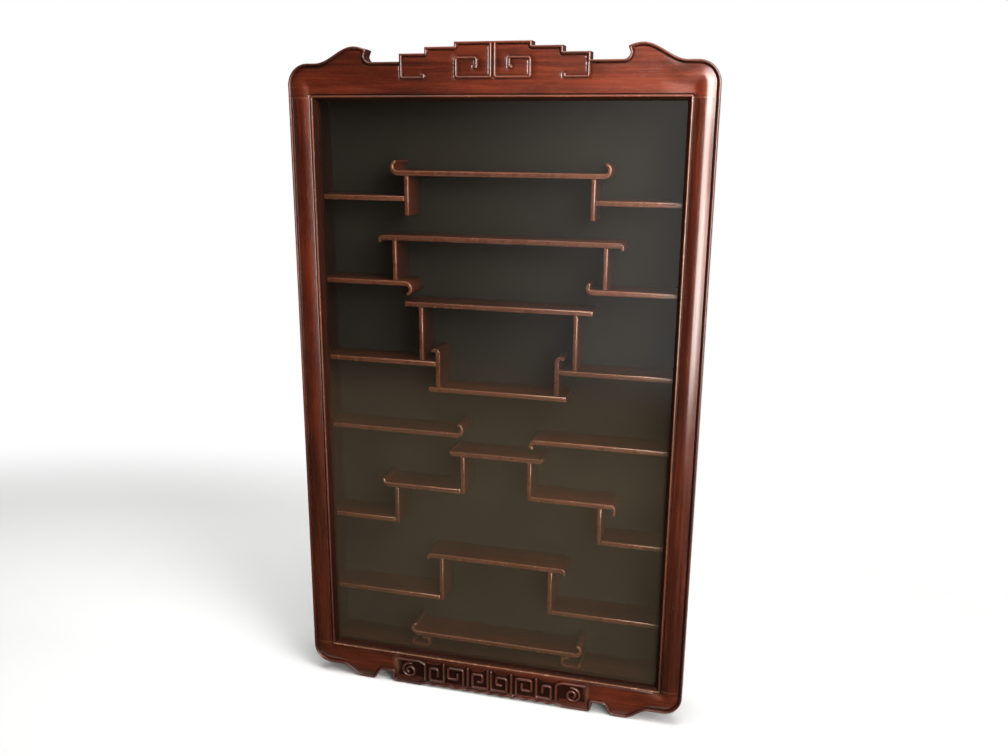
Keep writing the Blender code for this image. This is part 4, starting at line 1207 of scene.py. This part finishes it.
card = {
    "y": -1.50,
    "half": 4.0,
    "top": 3.2,
    "rest": 0.0004,  # the laid card lies this far above the floor,
    "gap": 0.0100,  # and ends this far in front of the door
    "dark": tone(24, 24, 24),
    "grey": tone(224, 221, 217),
    "greyFade": (-0.7, 0.5),  # from dark on the left to grey on the right
    "pale": tone(126, 106, 80),
    "paleFade": (0.0, 0.22),  # pale near the floor
    "window": (20.0, 19.6, 19.0, 1.0),
    "windowAcross": ((0.33, 0.45), (1.35, 1.15)),  # soft edges of the bright window
    "windowUp": ((0.0, 0.20), (1.60, 1.20)),
}


def makeLamp(name, place, aim, size, power, spread, inGloss):
    lamp = bpy.data.lights.new(name, "AREA")
    lamp.shape = "SQUARE"
    lamp.size = size
    lamp.energy = power
    lamp.spread = math.radians(spread)
    holder = placed(name, lamp)
    holder.location = place
    holder.rotation_euler = (Vector(aim) - Vector(place)).to_track_quat("-Z", "Y").to_euler()
    holder.visible_camera = False
    holder.visible_glossy = inGloss


def litForEyes(finish):  # 1 for rays that see the background, 0 for its light
    seen = None
    for kind in ("Is Camera Ray", "Is Glossy Ray", "Is Transmission Ray"):
        ray = finish.node("ShaderNodeLightPath", {}, {}, kind)
        seen = ray if seen is None else finish.maths("MAXIMUM", seen, ray)
    return seen


def stagePlane(name, corners, material):
    builder = bmesh.new()
    builder.faces.new([builder.verts.new(corner) for corner in corners])
    mesh = meshFrom(builder, name)
    mesh.materials.append(material)
    plane = placed(name, mesh)
    return plane


def glowing(finish, colour):
    return finish.node("ShaderNodeEmission", {}, {"Color": colour, "Strength": 1.0})


def makeFloor():
    finish, place = newFinish("paleFloor")
    oval = finish.node("ShaderNodeMapping", {}, {"Vector": place, "Scale": studio["floorShape"],
                                                 "Location": studio["floorShift"]})
    away = finish.node("ShaderNodeVectorMath", {"operation": "LENGTH"}, {0: oval}, "Value")
    far = finish.between(away, *studio["floorFade"]) * litForEyes(finish)
    mottle = finish.noise(place, 14, detail=3)
    colour = finish.blend(mottle * 0.06, studio["floor"], studio["mottle"])
    matt = finish.principled({"Base Color": colour, "Roughness": 0.85})
    white = glowing(finish, (1, 1, 1, 1))
    finish.surface(finish.node("ShaderNodeMixShader", {}, {0: far, 1: matt, 2: white}))
    radius, sides = studio["floorRadius"], studio["floorSides"]
    turns = [math.tau * index / sides for index in range(sides)]
    rim = [(radius * math.cos(turn), radius * math.sin(turn), 0) for turn in turns]
    floor = stagePlane("studioFloor", rim, finish.owner)
    floor.visible_diffuse = False  # its bounce would wash out the apron


def makeCards():
    finish, place = newFinish("uprightCard")
    across, up = finish.axis(place, "X"), finish.axis(place, "Z")
    shade = finish.blend(finish.between(across, *card["greyFade"]), card["dark"], card["grey"])
    shade = finish.blend(finish.between(up, *card["paleFade"]), card["pale"], shade)
    (left, right), (foot, head) = card["windowAcross"], card["windowUp"]
    window = (finish.between(across, *left) * finish.between(across, *right)
              * finish.between(up, *foot) * finish.between(up, *head))
    uprightCard = finish.surface(glowing(finish, finish.blend(window, shade, card["window"])))
    finish, place = newFinish("laidCard")
    mottle = finish.noise(place, 6, detail=3)
    laidCard = finish.surface(glowing(finish, finish.blend(mottle * 0.4, card["pale"], card["dark"])))
    half, back, top, rest = card["half"], card["y"], card["top"], card["rest"]
    near = doorShape["front"] - card["gap"]
    upright = [(-half, back, 0), (half, back, 0), (half, back, top), (-half, back, top)]
    laid = [(-half, back, rest), (half, back, rest), (half, near, rest), (-half, near, rest)]
    for name, corners, material in (("uprightCard", upright, uprightCard), ("laidCard", laid, laidCard)):
        panel = stagePlane(name, corners, material)
        for ray in ("camera", "diffuse", "transmission", "shadow", "volume_scatter"):
            setattr(panel, f"visible_{ray}", False)


def makeWorld():
    world = bpy.data.worlds.new("studioWorld")
    bpy.context.scene.world = world
    finish = Finish(world)
    soft, seen = (finish.node("ShaderNodeBackground", {}, {"Color": (1, 1, 1, 1), "Strength": level})
                  for level in (studio["worldLevel"], 1.0))
    mixed = finish.node("ShaderNodeMixShader", {}, {0: litForEyes(finish), 1: soft, 2: seen})
    finish.node("ShaderNodeOutputWorld", {}, {"Surface": mixed})


makeFloor()
makeCards()
makeWorld()
for lampName, lampLook in studio["lamps"].items():
    makeLamp(lampName, *lampLook)
print("studio set")

bpy.context.view_layer.update()
